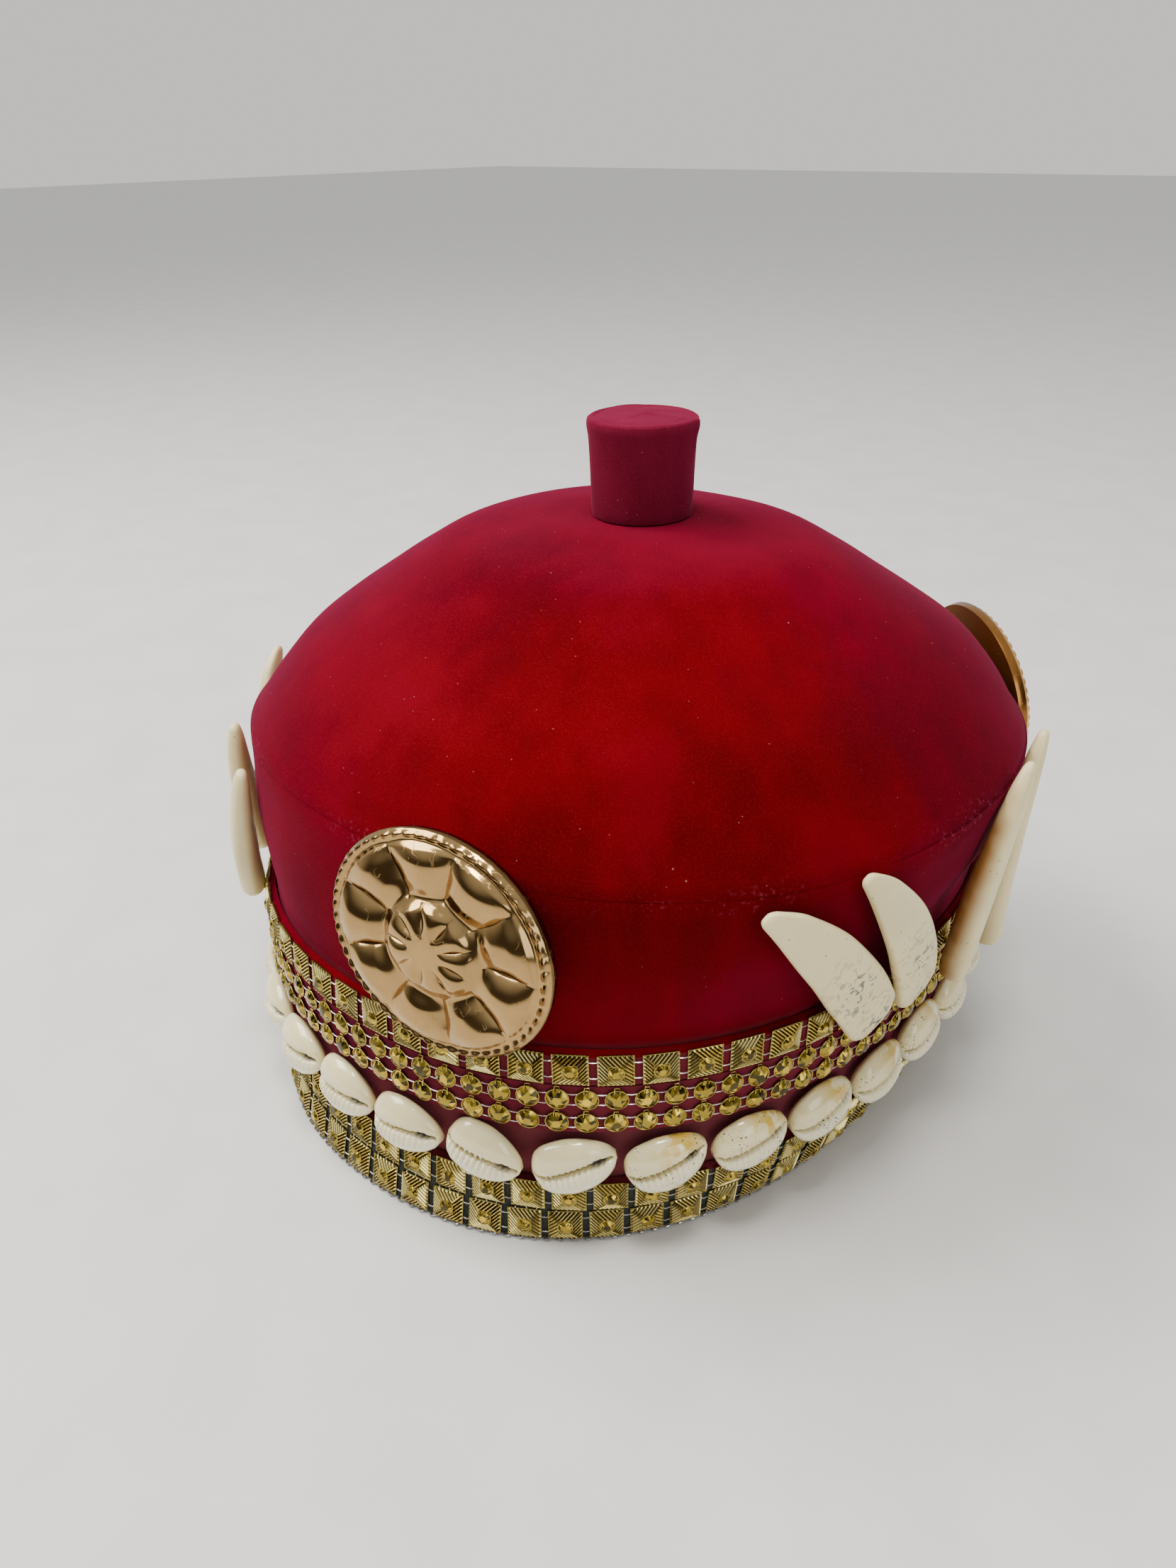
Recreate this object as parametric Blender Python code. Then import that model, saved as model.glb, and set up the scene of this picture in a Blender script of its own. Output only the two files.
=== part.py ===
"""Cowrie shell hat: a velvet crown with a stub on top, trimmed with metal squares, shells and tusks.

The hat stands on its rim, with +Z up and its long way along Y. The round ornament at the
front looks towards -Y. Every place on the wall is given by a turn round the hat in degrees
(0 at +X, 90 at +Y), a height above the rim, and how far it stands out from the velvet.
"""
import math
from collections import namedtuple

import bmesh
import bpy
from mathutils import Matrix, Vector

MM = 0.001

# The oval that the wall follows, and its cloth
HALF_WIDTH = 89.9 * MM
HALF_LENGTH = 100.8 * MM
OVAL_POWER = 2.2
WALL_HEIGHT = 96.8 * MM
WALL_SWELL = 10.0 * MM
CLOTH = 2.5 * MM
SEAM_GAP = 0.3 * MM
DOME_HEIGHT = 51.2 * MM
CROWN_SIDES = 64

# The stub on top; its flat seat on the dome is wider than it by STEM_SEAT
STEM_WIDTH = 27.4 * MM
STEM_DEPTH = 28.0 * MM
STEM_HEIGHT = 24.0 * MM
STEM_SHIFT = (1.7 * MM, 1.5 * MM)
STEM_SIDES = 24
STEM_SEAT = 1.33

# Clearance between a piece and what it lies on, and of a whole band round the faceted wall
FIT_GAP = 0.3 * MM
BAND_GAP = 0.5 * MM

# Metal trims: a backing strip with raised squares, or with two ridges of round stones
SQUARE_COUNT = 63
SQUARE_WIDTH = 8.2 * MM
SQUARE_HEIGHT = 8.7 * MM
SQUARE_TABLE = 0.42
SQUARE_RISE = 1.4 * MM
BACKING = 1.5 * MM
LOWER_TRIM_FOOT = 0.6 * MM
STONE_ROWS = 2
STONE_PITCH = 6.6 * MM
STONE_RISE = 1.7 * MM
STONE_TRIM_FOOT = 35.2 * MM
STONE_TRIM_SIDES = 44

# Shells: each leans back, with its upper edge near the velvet, and is tilted by COWRIE_TILTS
COWRIE_COUNT = 30
COWRIE_LENGTH = 19.3 * MM
COWRIE_WIDTH = 14.2 * MM
COWRIE_THICK = 6.2 * MM
COWRIE_HEIGHT = 26.2 * MM
COWRIE_SEAT = 1.9 * MM
COWRIE_LEAN = 16.0
COWRIE_FIRST_TURN = 268.0
COWRIE_TILTS = (-6, -2, -22, 14, 14, 8, 10, 8, 6, 4)

# Cast ornaments
MEDALLION_WIDTH = 57.0 * MM
MEDALLION_HEIGHT = 49.0 * MM
MEDALLION_DOME = 8.5 * MM
MEDALLION_PETALS = 9
MEDALLION_SIDES = 36

WallRow = namedtuple("WallRow", "height side end")
DomeRow = namedtuple("DomeRow", "height radius")
StemRow = namedtuple("StemRow", "height size")
ShellRow = namedtuple("ShellRow", "along width thick")
SectionPoint = namedtuple("SectionPoint", "across up")
ToothRow = namedtuple("ToothRow", "along width thick bend")
MedalRow = namedtuple("MedalRow", "radius rise petal")
TuskPlace = namedtuple(
    "TuskPlace", "name form foot_turn foot_height foot_lift tip_turn tip_height tip_lift width thick bow")
MedalPlace = namedtuple("MedalPlace", "name turn height lift lean tilt size")

# Swell of the wall at the two sides and the two ends: heights as shares of WALL_HEIGHT,
# swells as shares of WALL_SWELL
WALL = (
    WallRow(0.00, -0.81, 0.37),
    WallRow(0.19, -0.27, 0.05),
    WallRow(0.37, 0.00, 0.13),
    WallRow(0.62, 0.17, -0.01),
    WallRow(0.84, 0.94, -0.10),
    WallRow(1.00, 1.10, -0.43),
)
WALL_INSIDE = (WALL[5], WALL[4], WALL[3], WALL[1], WALL[0])

# The dome above the seam: heights as shares of DOME_HEIGHT, radii as shares of the seam's
DOME = (
    DomeRow(0.000, 1.000),
    DomeRow(0.115, 0.970),
    DomeRow(0.264, 0.911),
    DomeRow(0.396, 0.848),
    DomeRow(0.528, 0.760),
    DomeRow(0.660, 0.661),
    DomeRow(0.791, 0.560),
    DomeRow(0.915, 0.442),
    DomeRow(0.970, 0.310),
)

# The stub from its foot to its lid: shares of STEM_HEIGHT and of its half width and depth
STEM = (
    StemRow(0.00, 0.930),
    StemRow(0.50, 0.955),
    StemRow(0.95, 1.010),
    StemRow(0.99, 0.995),
    StemRow(1.00, 0.940),
)

# A shell from its broad end to its narrow end
SHELL = (
    ShellRow(0.01, 0.42, 0.48),
    ShellRow(0.17, 0.90, 0.88),
    ShellRow(0.45, 1.00, 1.00),
    ShellRow(0.78, 0.76, 0.84),
    ShellRow(0.98, 0.32, 0.44),
)

# A cut through a shell, over its half width and its thickness, with the slit in the middle
SHELL_SECTION = (
    SectionPoint(0.72, 0.00),
    SectionPoint(1.00, 0.42),
    SectionPoint(0.58, 0.93),
    SectionPoint(0.10, 0.94),
    SectionPoint(0.00, 0.66),
    SectionPoint(-0.10, 0.94),
    SectionPoint(-0.58, 0.93),
    SectionPoint(-1.00, 0.42),
    SectionPoint(-0.72, 0.00),
)

# Flat teeth and slender tusks from foot to tip: shares of the length, the width and the
# thickness, and how far the middle is moved sideways, as a share of half the width
TOOTH = (
    ToothRow(0.00, 0.60, 0.80, 0.04),
    ToothRow(0.07, 0.92, 1.00, 0.08),
    ToothRow(0.30, 1.00, 1.00, 0.22),
    ToothRow(0.58, 0.90, 0.94, 0.31),
    ToothRow(0.84, 0.58, 0.76, 0.19),
    ToothRow(1.00, 0.22, 0.46, -0.08),
)
TUSK = (
    ToothRow(0.00, 0.74, 0.84, 0.00),
    ToothRow(0.06, 0.94, 1.00, 0.00),
    ToothRow(0.35, 1.00, 1.00, 0.00),
    ToothRow(0.65, 0.86, 0.88, 0.00),
    ToothRow(0.88, 0.62, 0.66, 0.00),
    ToothRow(1.00, 0.30, 0.36, 0.00),
)
TUSK_SIDES = 8

# Where each tooth or tusk lies: turns in degrees, the other measures in millimetres
TUSKS = (
    TuskPlace("tusk_right_1", TOOTH, 347.2, 50.9, 3.7, 327.4, 95.0, 2.0, 16.0, 4.6, 0.2),
    TuskPlace("tusk_right_2", TOOTH, 355.6, 50.6, 3.5, 339.8, 99.0, 1.6, 14.6, 4.6, 0.2),
    TuskPlace("tusk_right_3", TUSK, 3.6, 46.5, 4.1, 8.5, 103.5, 1.6, 9.4, 7.0, -0.8),
    TuskPlace("tusk_right_4", TUSK, 16.5, 41.0, 5.4, 21.5, 100.0, 1.6, 9.4, 7.0, -1.0),
    TuskPlace("tusk_left_1", TUSK, 232.0, 52.2, 3.4, 237.0, 91.5, 0.8, 12.0, 6.6, 0.4),
    TuskPlace("tusk_left_2", TUSK, 221.5, 56.0, 3.1, 225.5, 96.0, 2.0, 10.4, 6.4, -0.2),
    TuskPlace("tusk_left_3", TOOTH, 212.0, 56.0, 3.2, 202.5, 102.0, 2.0, 13.0, 4.6, 0.2),
)

# Radial sections of a round ornament: radii as shares of its radius, rises as shares of the
# dome's height, and how deep the petals are cut there
MEDAL = (
    MedalRow(1.00, 0.26, 0.10),
    MedalRow(0.96, 0.42, 0.09),
    MedalRow(0.78, 0.62, 0.12),
    MedalRow(0.50, 0.57, 0.08),
    MedalRow(0.40, 0.84, 0.00),
    MedalRow(0.20, 0.98, 0.00),
)
MEDALLIONS = (
    MedalPlace("front_medallion", 286.5, 82.5, 2.0, 4.6, -22.0, 1.0),
    MedalPlace("back_medallion", 51.0, 90.0, 0.6, 0.0, 20.0, 0.9),
)

Finish = namedtuple("Finish", "name color roughness metallic")
VELVET = Finish("velvet", (0.30, 0.004, 0.018), 0.85, 0.0)
GOLD = Finish("gold", (0.72, 0.52, 0.16), 0.28, 1.0)
BRASS = Finish("brass", (0.66, 0.40, 0.17), 0.18, 1.0)
SHELL_WHITE = Finish("shell", (0.82, 0.76, 0.62), 0.22, 0.0)
IVORY = Finish("ivory", (0.78, 0.70, 0.54), 0.45, 0.0)


def between(rows, key, column, at):
    """Reads a column of a table at a place between two of its rows."""
    for low, high in zip(rows, rows[1:]):
        if at <= getattr(high, key):
            break
    span = getattr(high, key) - getattr(low, key)
    share = (at - getattr(low, key)) / span
    return getattr(low, column) * (1 - share) + getattr(high, column) * share


def oval(turn, side, end, out=0.0):
    """A point of the hat's oval, and the way out of it, swollen by side and end."""
    angle = math.radians(turn)
    cos, sin = math.cos(angle), math.sin(angle)
    power = 2 / OVAL_POWER
    x = HALF_WIDTH * math.copysign(abs(cos) ** power, cos)
    y = HALF_LENGTH * math.copysign(abs(sin) ** power, sin)
    way = Vector((cos / HALF_WIDTH, sin / HALF_LENGTH, 0)).normalized()
    swell = (side + end) / 2 + (side - end) / 2 * math.cos(2 * angle)
    return Vector((x, y, 0)) + way * (swell + out), way


def wall_point(turn, height, out=0.0):
    """A point at a height above the rim, out in front of the velvet, and the way out."""
    share = height / WALL_HEIGHT
    side = between(WALL, "height", "side", share) * WALL_SWELL
    end = between(WALL, "height", "end", share) * WALL_SWELL
    point, way = oval(turn, side, end, out)
    point.z = height
    return point, way


def wall_turns(count, height, first=0.0, steps=2880):
    """Turns that divide the wall evenly by its length round the hat."""
    turns = [first + 360 * step / steps for step in range(steps + 1)]
    lengths = [0.0]
    for a, b in zip(turns, turns[1:]):
        lengths.append(lengths[-1] + (wall_point(b, height)[0] - wall_point(a, height)[0]).length)
    result = []
    step = 0
    for place in range(count):
        wanted = lengths[-1] * place / count
        while lengths[step + 1] < wanted:
            step += 1
        share = (wanted - lengths[step]) / (lengths[step + 1] - lengths[step])
        result.append(turns[step] + share * (turns[step + 1] - turns[step]))
    return result


def add_object(name, verts, faces, finish, smooth_angle=None):
    """Makes a closed mesh object with its faces pointing out."""
    mesh = bpy.data.meshes.new(name)
    mesh.from_pydata([tuple(vert) for vert in verts], [], faces)
    bm = bmesh.new()
    bm.from_mesh(mesh)
    bmesh.ops.recalc_face_normals(bm, faces=bm.faces)
    bm.to_mesh(mesh)
    bm.free()
    if smooth_angle is not None:
        mesh.shade_smooth()
        mesh.set_sharp_from_angle(angle=math.radians(smooth_angle))
    obj = bpy.data.objects.new(name, mesh)
    bpy.context.scene.collection.objects.link(obj)
    mesh.materials.append(material(finish))
    return obj


def material(finish):
    """The finish's own material, made once."""
    found = bpy.data.materials.get(finish.name)
    if found:
        return found
    made = bpy.data.materials.new(finish.name)
    made.use_nodes = True
    shader = made.node_tree.nodes["Principled BSDF"]
    shader.inputs["Base Color"].default_value = (*finish.color, 1)
    shader.inputs["Roughness"].default_value = finish.roughness
    shader.inputs["Metallic"].default_value = finish.metallic
    return made


def loft(rings, ring_closed):
    """Joins equal rings of points; the last ring meets the first, or both ends are capped."""
    size = len(rings[0])
    verts = [point for ring in rings for point in ring]
    faces = []
    for a in range(len(rings) if ring_closed else len(rings) - 1):
        b = (a + 1) % len(rings)
        for i in range(size):
            j = (i + 1) % size
            faces.append((a * size + i, a * size + j, b * size + j, b * size + i))
    if not ring_closed:
        faces.append(tuple(range(size)))
        faces.append(tuple(reversed(range((len(rings) - 1) * size, len(rings) * size))))
    return verts, faces


def crown_side():
    """The velvet wall, open at its rim and at the seam."""
    turns = [360 * i / CROWN_SIDES for i in range(CROWN_SIDES)]
    rings = []
    for out, rows in ((0.0, WALL), (-CLOTH, WALL_INSIDE)):
        for row in rows:
            rings.append([wall_point(turn, row.height * WALL_HEIGHT, out)[0] for turn in turns])
    add_object("crown_side", *loft(rings, True), VELVET, 50)


def dome_point(turn, row, thin=0.0):
    """A point of the dome at a table row, moved in by thin square to its profile."""
    at = DOME.index(row)
    below, above = DOME[max(at - 1, 0)], DOME[min(at + 1, len(DOME) - 1)]
    run = (below.radius - above.radius) * (HALF_WIDTH + HALF_LENGTH) / 2
    climb = (above.height - below.height) * DOME_HEIGHT
    slope = Vector((climb, run)).normalized() if at else Vector((1, 0))
    seam, way = wall_point(turn, WALL_HEIGHT)
    point = Vector((seam.x * row.radius, seam.y * row.radius, 0)) - way * slope.x * thin
    point.z = WALL_HEIGHT + SEAM_GAP + row.height * DOME_HEIGHT - slope.y * thin
    return point


def crown_top():
    """The velvet top above the seam, hollow, with a flat seat in the middle for the stub."""
    turns = [360 * i / CROWN_SIDES for i in range(CROWN_SIDES)]
    seat = STEM_DEPTH / 2 * STEM_SEAT
    rings = []
    for thin, rows in ((CLOTH, DOME[::-2]), (0.0, DOME)):
        rings += [[dome_point(turn, row, thin) for turn in turns] for row in rows]
    for ring, thin, last in ((rings[0], CLOTH, False), (rings[-1], 0.0, True)):
        flat = [Vector((point.x, point.y, 0)).normalized() * seat for point in ring]
        for point in flat:
            point.z = WALL_HEIGHT + SEAM_GAP + DOME_HEIGHT - thin
        rings.insert(len(rings) if last else 0, flat)
    add_object("crown_top", *loft(rings, False), VELVET, 50)


def crown_stem():
    """The velvet stub, an oval that is a little wider at its lid."""
    foot = WALL_HEIGHT + SEAM_GAP + DOME_HEIGHT + FIT_GAP
    rings = []
    for row in STEM:
        ring = []
        for i in range(STEM_SIDES):
            angle = 2 * math.pi * i / STEM_SIDES
            ring.append(Vector((
                STEM_SHIFT[0] + STEM_WIDTH / 2 * row.size * math.cos(angle),
                STEM_SHIFT[1] + STEM_DEPTH / 2 * row.size * math.sin(angle),
                foot + row.height * STEM_HEIGHT)))
        rings.append(ring)
    add_object("crown_stem", *loft(rings, False), VELVET, 40)


def square_band(name, rows, foot):
    """A backing strip with rows of raised squares, each cut off at a small table."""
    lines = [foot]
    for row in range(rows):
        lines.append(lines[-1] + SQUARE_HEIGHT)
    middle = (lines[0] + lines[-1]) / 2
    starts = wall_turns(SQUARE_COUNT, middle)
    pitch = [b - a for a, b in zip(starts, starts[1:] + [starts[0] + 360])]
    round_length = sum(
        (wall_point(a + step, middle)[0] - wall_point(a, middle)[0]).length
        for a, step in zip(starts, pitch))
    full = SQUARE_WIDTH * SQUARE_COUNT / round_length
    turns = []
    for start, step in zip(starts, pitch):
        turns += [start, start + step * full]
    verts = []
    faces = []

    def put(turn, height, out):
        verts.append(wall_point(turn, height, out)[0])
        return len(verts) - 1

    face_out = BAND_GAP + BACKING
    front = [[put(turn, line, face_out) for line in lines] for turn in turns]
    back = [[put(turn, line, BAND_GAP) for line in (lines[0], lines[-1])] for turn in starts]
    for i, turn in enumerate(turns):
        j = (i + 1) % len(turns)
        for k in range(len(lines) - 1):
            corners = (front[i][k], front[j][k], front[j][k + 1], front[i][k + 1])
            if i % 2:
                faces.append(corners)
                continue
            centre_turn = (turn + turns[i + 1]) / 2
            centre_line = (lines[k] + lines[k + 1]) / 2
            table = []
            for u, h in ((turn, lines[k]), (turns[i + 1], lines[k]),
                         (turns[i + 1], lines[k + 1]), (turn, lines[k + 1])):
                table.append(put(
                    centre_turn + (u - centre_turn) * SQUARE_TABLE,
                    centre_line + (h - centre_line) * SQUARE_TABLE, face_out + SQUARE_RISE))
            for a in range(4):
                b = (a + 1) % 4
                faces.append((corners[a], corners[b], table[b], table[a]))
            faces.append(tuple(table))
    for i in range(SQUARE_COUNT):
        j = (i + 1) % SQUARE_COUNT
        ends = (2 * j, 2 * i + 1, 2 * i)
        faces.append((back[j][0], back[i][0], back[i][1], back[j][1]))
        faces.append((back[i][0], back[j][0], *(front[end][0] for end in ends)))
        faces.append((back[j][1], back[i][1], *(front[end][-1] for end in reversed(ends))))
    add_object(name, verts, faces, GOLD)


def stone_trim():
    """The strip under the two rows of round stones, with a ridge for each row."""
    turns = wall_turns(STONE_TRIM_SIDES, STONE_TRIM_FOOT)
    face_out = BAND_GAP + BACKING
    profile = [(0.0, BAND_GAP), (0.0, face_out)]
    for row in range(STONE_ROWS):
        profile += [
            ((row + 0.2) * STONE_PITCH, face_out + STONE_RISE),
            ((row + 0.8) * STONE_PITCH, face_out + STONE_RISE),
            ((row + 1.0) * STONE_PITCH, face_out)]
    profile.append((STONE_ROWS * STONE_PITCH, BAND_GAP))
    rings = [[wall_point(turn, STONE_TRIM_FOOT + up, out)[0] for turn in turns]
             for up, out in profile]
    add_object("stone_trim", *loft(rings, True), GOLD)


def laid_frame(turn, height, out, tilt, lean):
    """A frame on the wall, x along it and z out of it, tilted and with its top leant back."""
    near_turn, near_height = 0.5, MM
    place, _ = wall_point(turn, height, out)
    ahead = wall_point(turn + near_turn, height)[0] - wall_point(turn - near_turn, height)[0]
    above = wall_point(turn, height + near_height)[0] - wall_point(turn, height - near_height)[0]
    along = ahead.normalized()
    up = (above - along * above.dot(along)).normalized()
    frame = Matrix((along, up, along.cross(up))).transposed().to_4x4()
    leant = frame @ Matrix.Rotation(-math.radians(lean), 4, "X")
    return Matrix.Translation(place) @ leant @ Matrix.Rotation(math.radians(tilt), 4, "Z")


def cowries():
    """The ring of shells, each with its slit out and its broad end first."""
    rings = []
    for row in SHELL:
        rings.append([Vector((
            (row.along - 0.5) * COWRIE_LENGTH,
            point.across * row.width * COWRIE_WIDTH / 2,
            point.up * row.thick * COWRIE_THICK)) for point in SHELL_SECTION])
    turns = wall_turns(COWRIE_COUNT, COWRIE_HEIGHT, COWRIE_FIRST_TURN)
    for i, turn in enumerate(turns):
        tilt = COWRIE_TILTS[i % len(COWRIE_TILTS)]
        place = laid_frame(turn, COWRIE_HEIGHT, COWRIE_SEAT, tilt, COWRIE_LEAN)
        placed = [[place @ point for point in ring] for ring in rings]
        add_object(f"cowrie_{i + 1:02d}", *loft(placed, False), SHELL_WHITE, 60)


def tusk_path(place):
    """Three points along a tooth's middle, at its foot, half way and its tip, and its way out."""
    points = []
    for share in (0.0, 0.5, 1.0):
        turn = place.foot_turn + (place.tip_turn - place.foot_turn) * share
        height = place.foot_height + (place.tip_height - place.foot_height) * share
        lift = place.foot_lift + (place.tip_lift - place.foot_lift) * share
        lift += place.bow * math.sin(math.pi * share) + place.thick / 2
        points.append(side_point(turn, height * MM, lift * MM))
    return [point for point, _ in points], points[1][1]


def tusks():
    """The teeth and tusks, each an even curve through its foot, its middle and its tip."""
    for place in TUSKS:
        width, thick = place.width * MM, place.thick * MM
        (foot, middle, tip), way = tusk_path(place)
        rings = []
        for row in place.form:
            t = row.along
            centre = foot * (2 * t * t - 3 * t + 1) + middle * 4 * (t - t * t) + tip * (2 * t * t - t)
            along = foot * (4 * t - 3) + middle * (4 - 8 * t) + tip * (4 * t - 1)
            along.normalize()
            out = way - along * way.dot(along)
            out.normalize()
            across = along.cross(out)
            centre += across * row.bend * width / 2
            ring = []
            for side in range(TUSK_SIDES):
                angle = 2 * math.pi * side / TUSK_SIDES
                ring.append(
                    centre + across * math.cos(angle) * row.width * width / 2
                    + out * math.sin(angle) * row.thick * thick / 2)
            rings.append(ring)
        add_object(place.name, *loft(rings, False), IVORY, 50)


def side_point(turn, height, out):
    """A wall point that goes on straight up above the seam."""
    point, way = wall_point(turn, min(height, WALL_HEIGHT), out)
    point.z = height
    return point, way


def medallions():
    """The oval ornaments: a ring of petals round a smooth dome, leaning on the trim below."""
    for medal in MEDALLIONS:
        place = laid_frame(
            medal.turn, medal.height * MM, medal.lift * MM, medal.tilt, medal.lean)
        rings = [medal_ring(place, medal.size, 0.0, 0.0)]
        for row in MEDAL:
            rings.append(medal_ring(place, medal.size * row.radius, row.rise, row.petal))
        add_object(medal.name, *loft(rings, False), BRASS, 40)


def medal_ring(place, size, rise, petal):
    """A ring of an ornament, at a share of the dome's height with petals cut into it."""
    ring = []
    for i in range(MEDALLION_SIDES):
        angle = 2 * math.pi * i / MEDALLION_SIDES
        ring.append(place @ Vector((
            MEDALLION_WIDTH / 2 * size * math.cos(angle),
            MEDALLION_HEIGHT / 2 * size * math.sin(angle),
            MEDALLION_DOME * (rise + petal * math.cos(MEDALLION_PETALS * angle)))))
    return ring


def clear_scene():
    """Removes whatever the new file starts with."""
    for obj in list(bpy.data.objects):
        bpy.data.objects.remove(obj, do_unlink=True)


def main():
    clear_scene()
    crown_side()
    crown_top()
    crown_stem()
    square_band("lower_trim", 2, LOWER_TRIM_FOOT)
    stone_trim()
    square_band("square_trim", 1, STONE_TRIM_FOOT + STONE_ROWS * STONE_PITCH + BAND_GAP)
    cowries()
    tusks()
    medallions()


main()
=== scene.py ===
import logging
import math
import random
from dataclasses import dataclass
from enum import Enum
from functools import cache
from typing import Sequence

import bpy
import numpy as np
from mathutils import Matrix, Vector


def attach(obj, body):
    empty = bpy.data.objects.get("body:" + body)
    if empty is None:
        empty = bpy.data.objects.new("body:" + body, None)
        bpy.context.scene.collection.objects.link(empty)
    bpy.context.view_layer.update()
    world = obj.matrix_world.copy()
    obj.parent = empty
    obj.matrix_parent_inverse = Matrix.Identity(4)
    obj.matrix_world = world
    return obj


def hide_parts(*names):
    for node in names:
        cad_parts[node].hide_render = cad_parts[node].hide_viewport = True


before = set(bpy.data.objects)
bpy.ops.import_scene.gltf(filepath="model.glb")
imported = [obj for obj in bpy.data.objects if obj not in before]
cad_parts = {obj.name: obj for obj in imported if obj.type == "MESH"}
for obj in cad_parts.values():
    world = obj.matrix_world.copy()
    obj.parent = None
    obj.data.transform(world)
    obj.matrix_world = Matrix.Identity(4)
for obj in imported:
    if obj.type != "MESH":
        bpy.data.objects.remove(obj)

MM = 0.001
LOG = logging.getLogger("hat")

Numbers = float | Sequence[float] | np.ndarray
Faces = list[tuple[int, ...]]
Color = tuple[float, float, float]
Socket = bpy.types.NodeSocket
Feed = bpy.types.NodeSocket | float | Sequence[float]


class Side(Enum):
    """Which way a wall of a stamped square is ridged."""

    RISING = 0
    FALLING = 1


class Form(Enum):
    """The two kinds of tooth on the hat."""

    TOOTH = "flat tooth"
    TUSK = "slender tusk"


@dataclass(frozen=True)
class WallRow:
    """Swell of the wall at one height, as shares of the wall's height and swell."""

    height: float
    side: float
    end: float


@dataclass(frozen=True)
class DomeRow:
    """Radius of the top at one height, as shares of the seam's radius and the dome's height."""

    height: float
    radius: float


@dataclass(frozen=True)
class LengthRow:
    """Width, thickness and sideways bend of a piece at one place along it, as shares."""

    along: float
    width: float
    thick: float
    bend: float = 0.0


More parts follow.
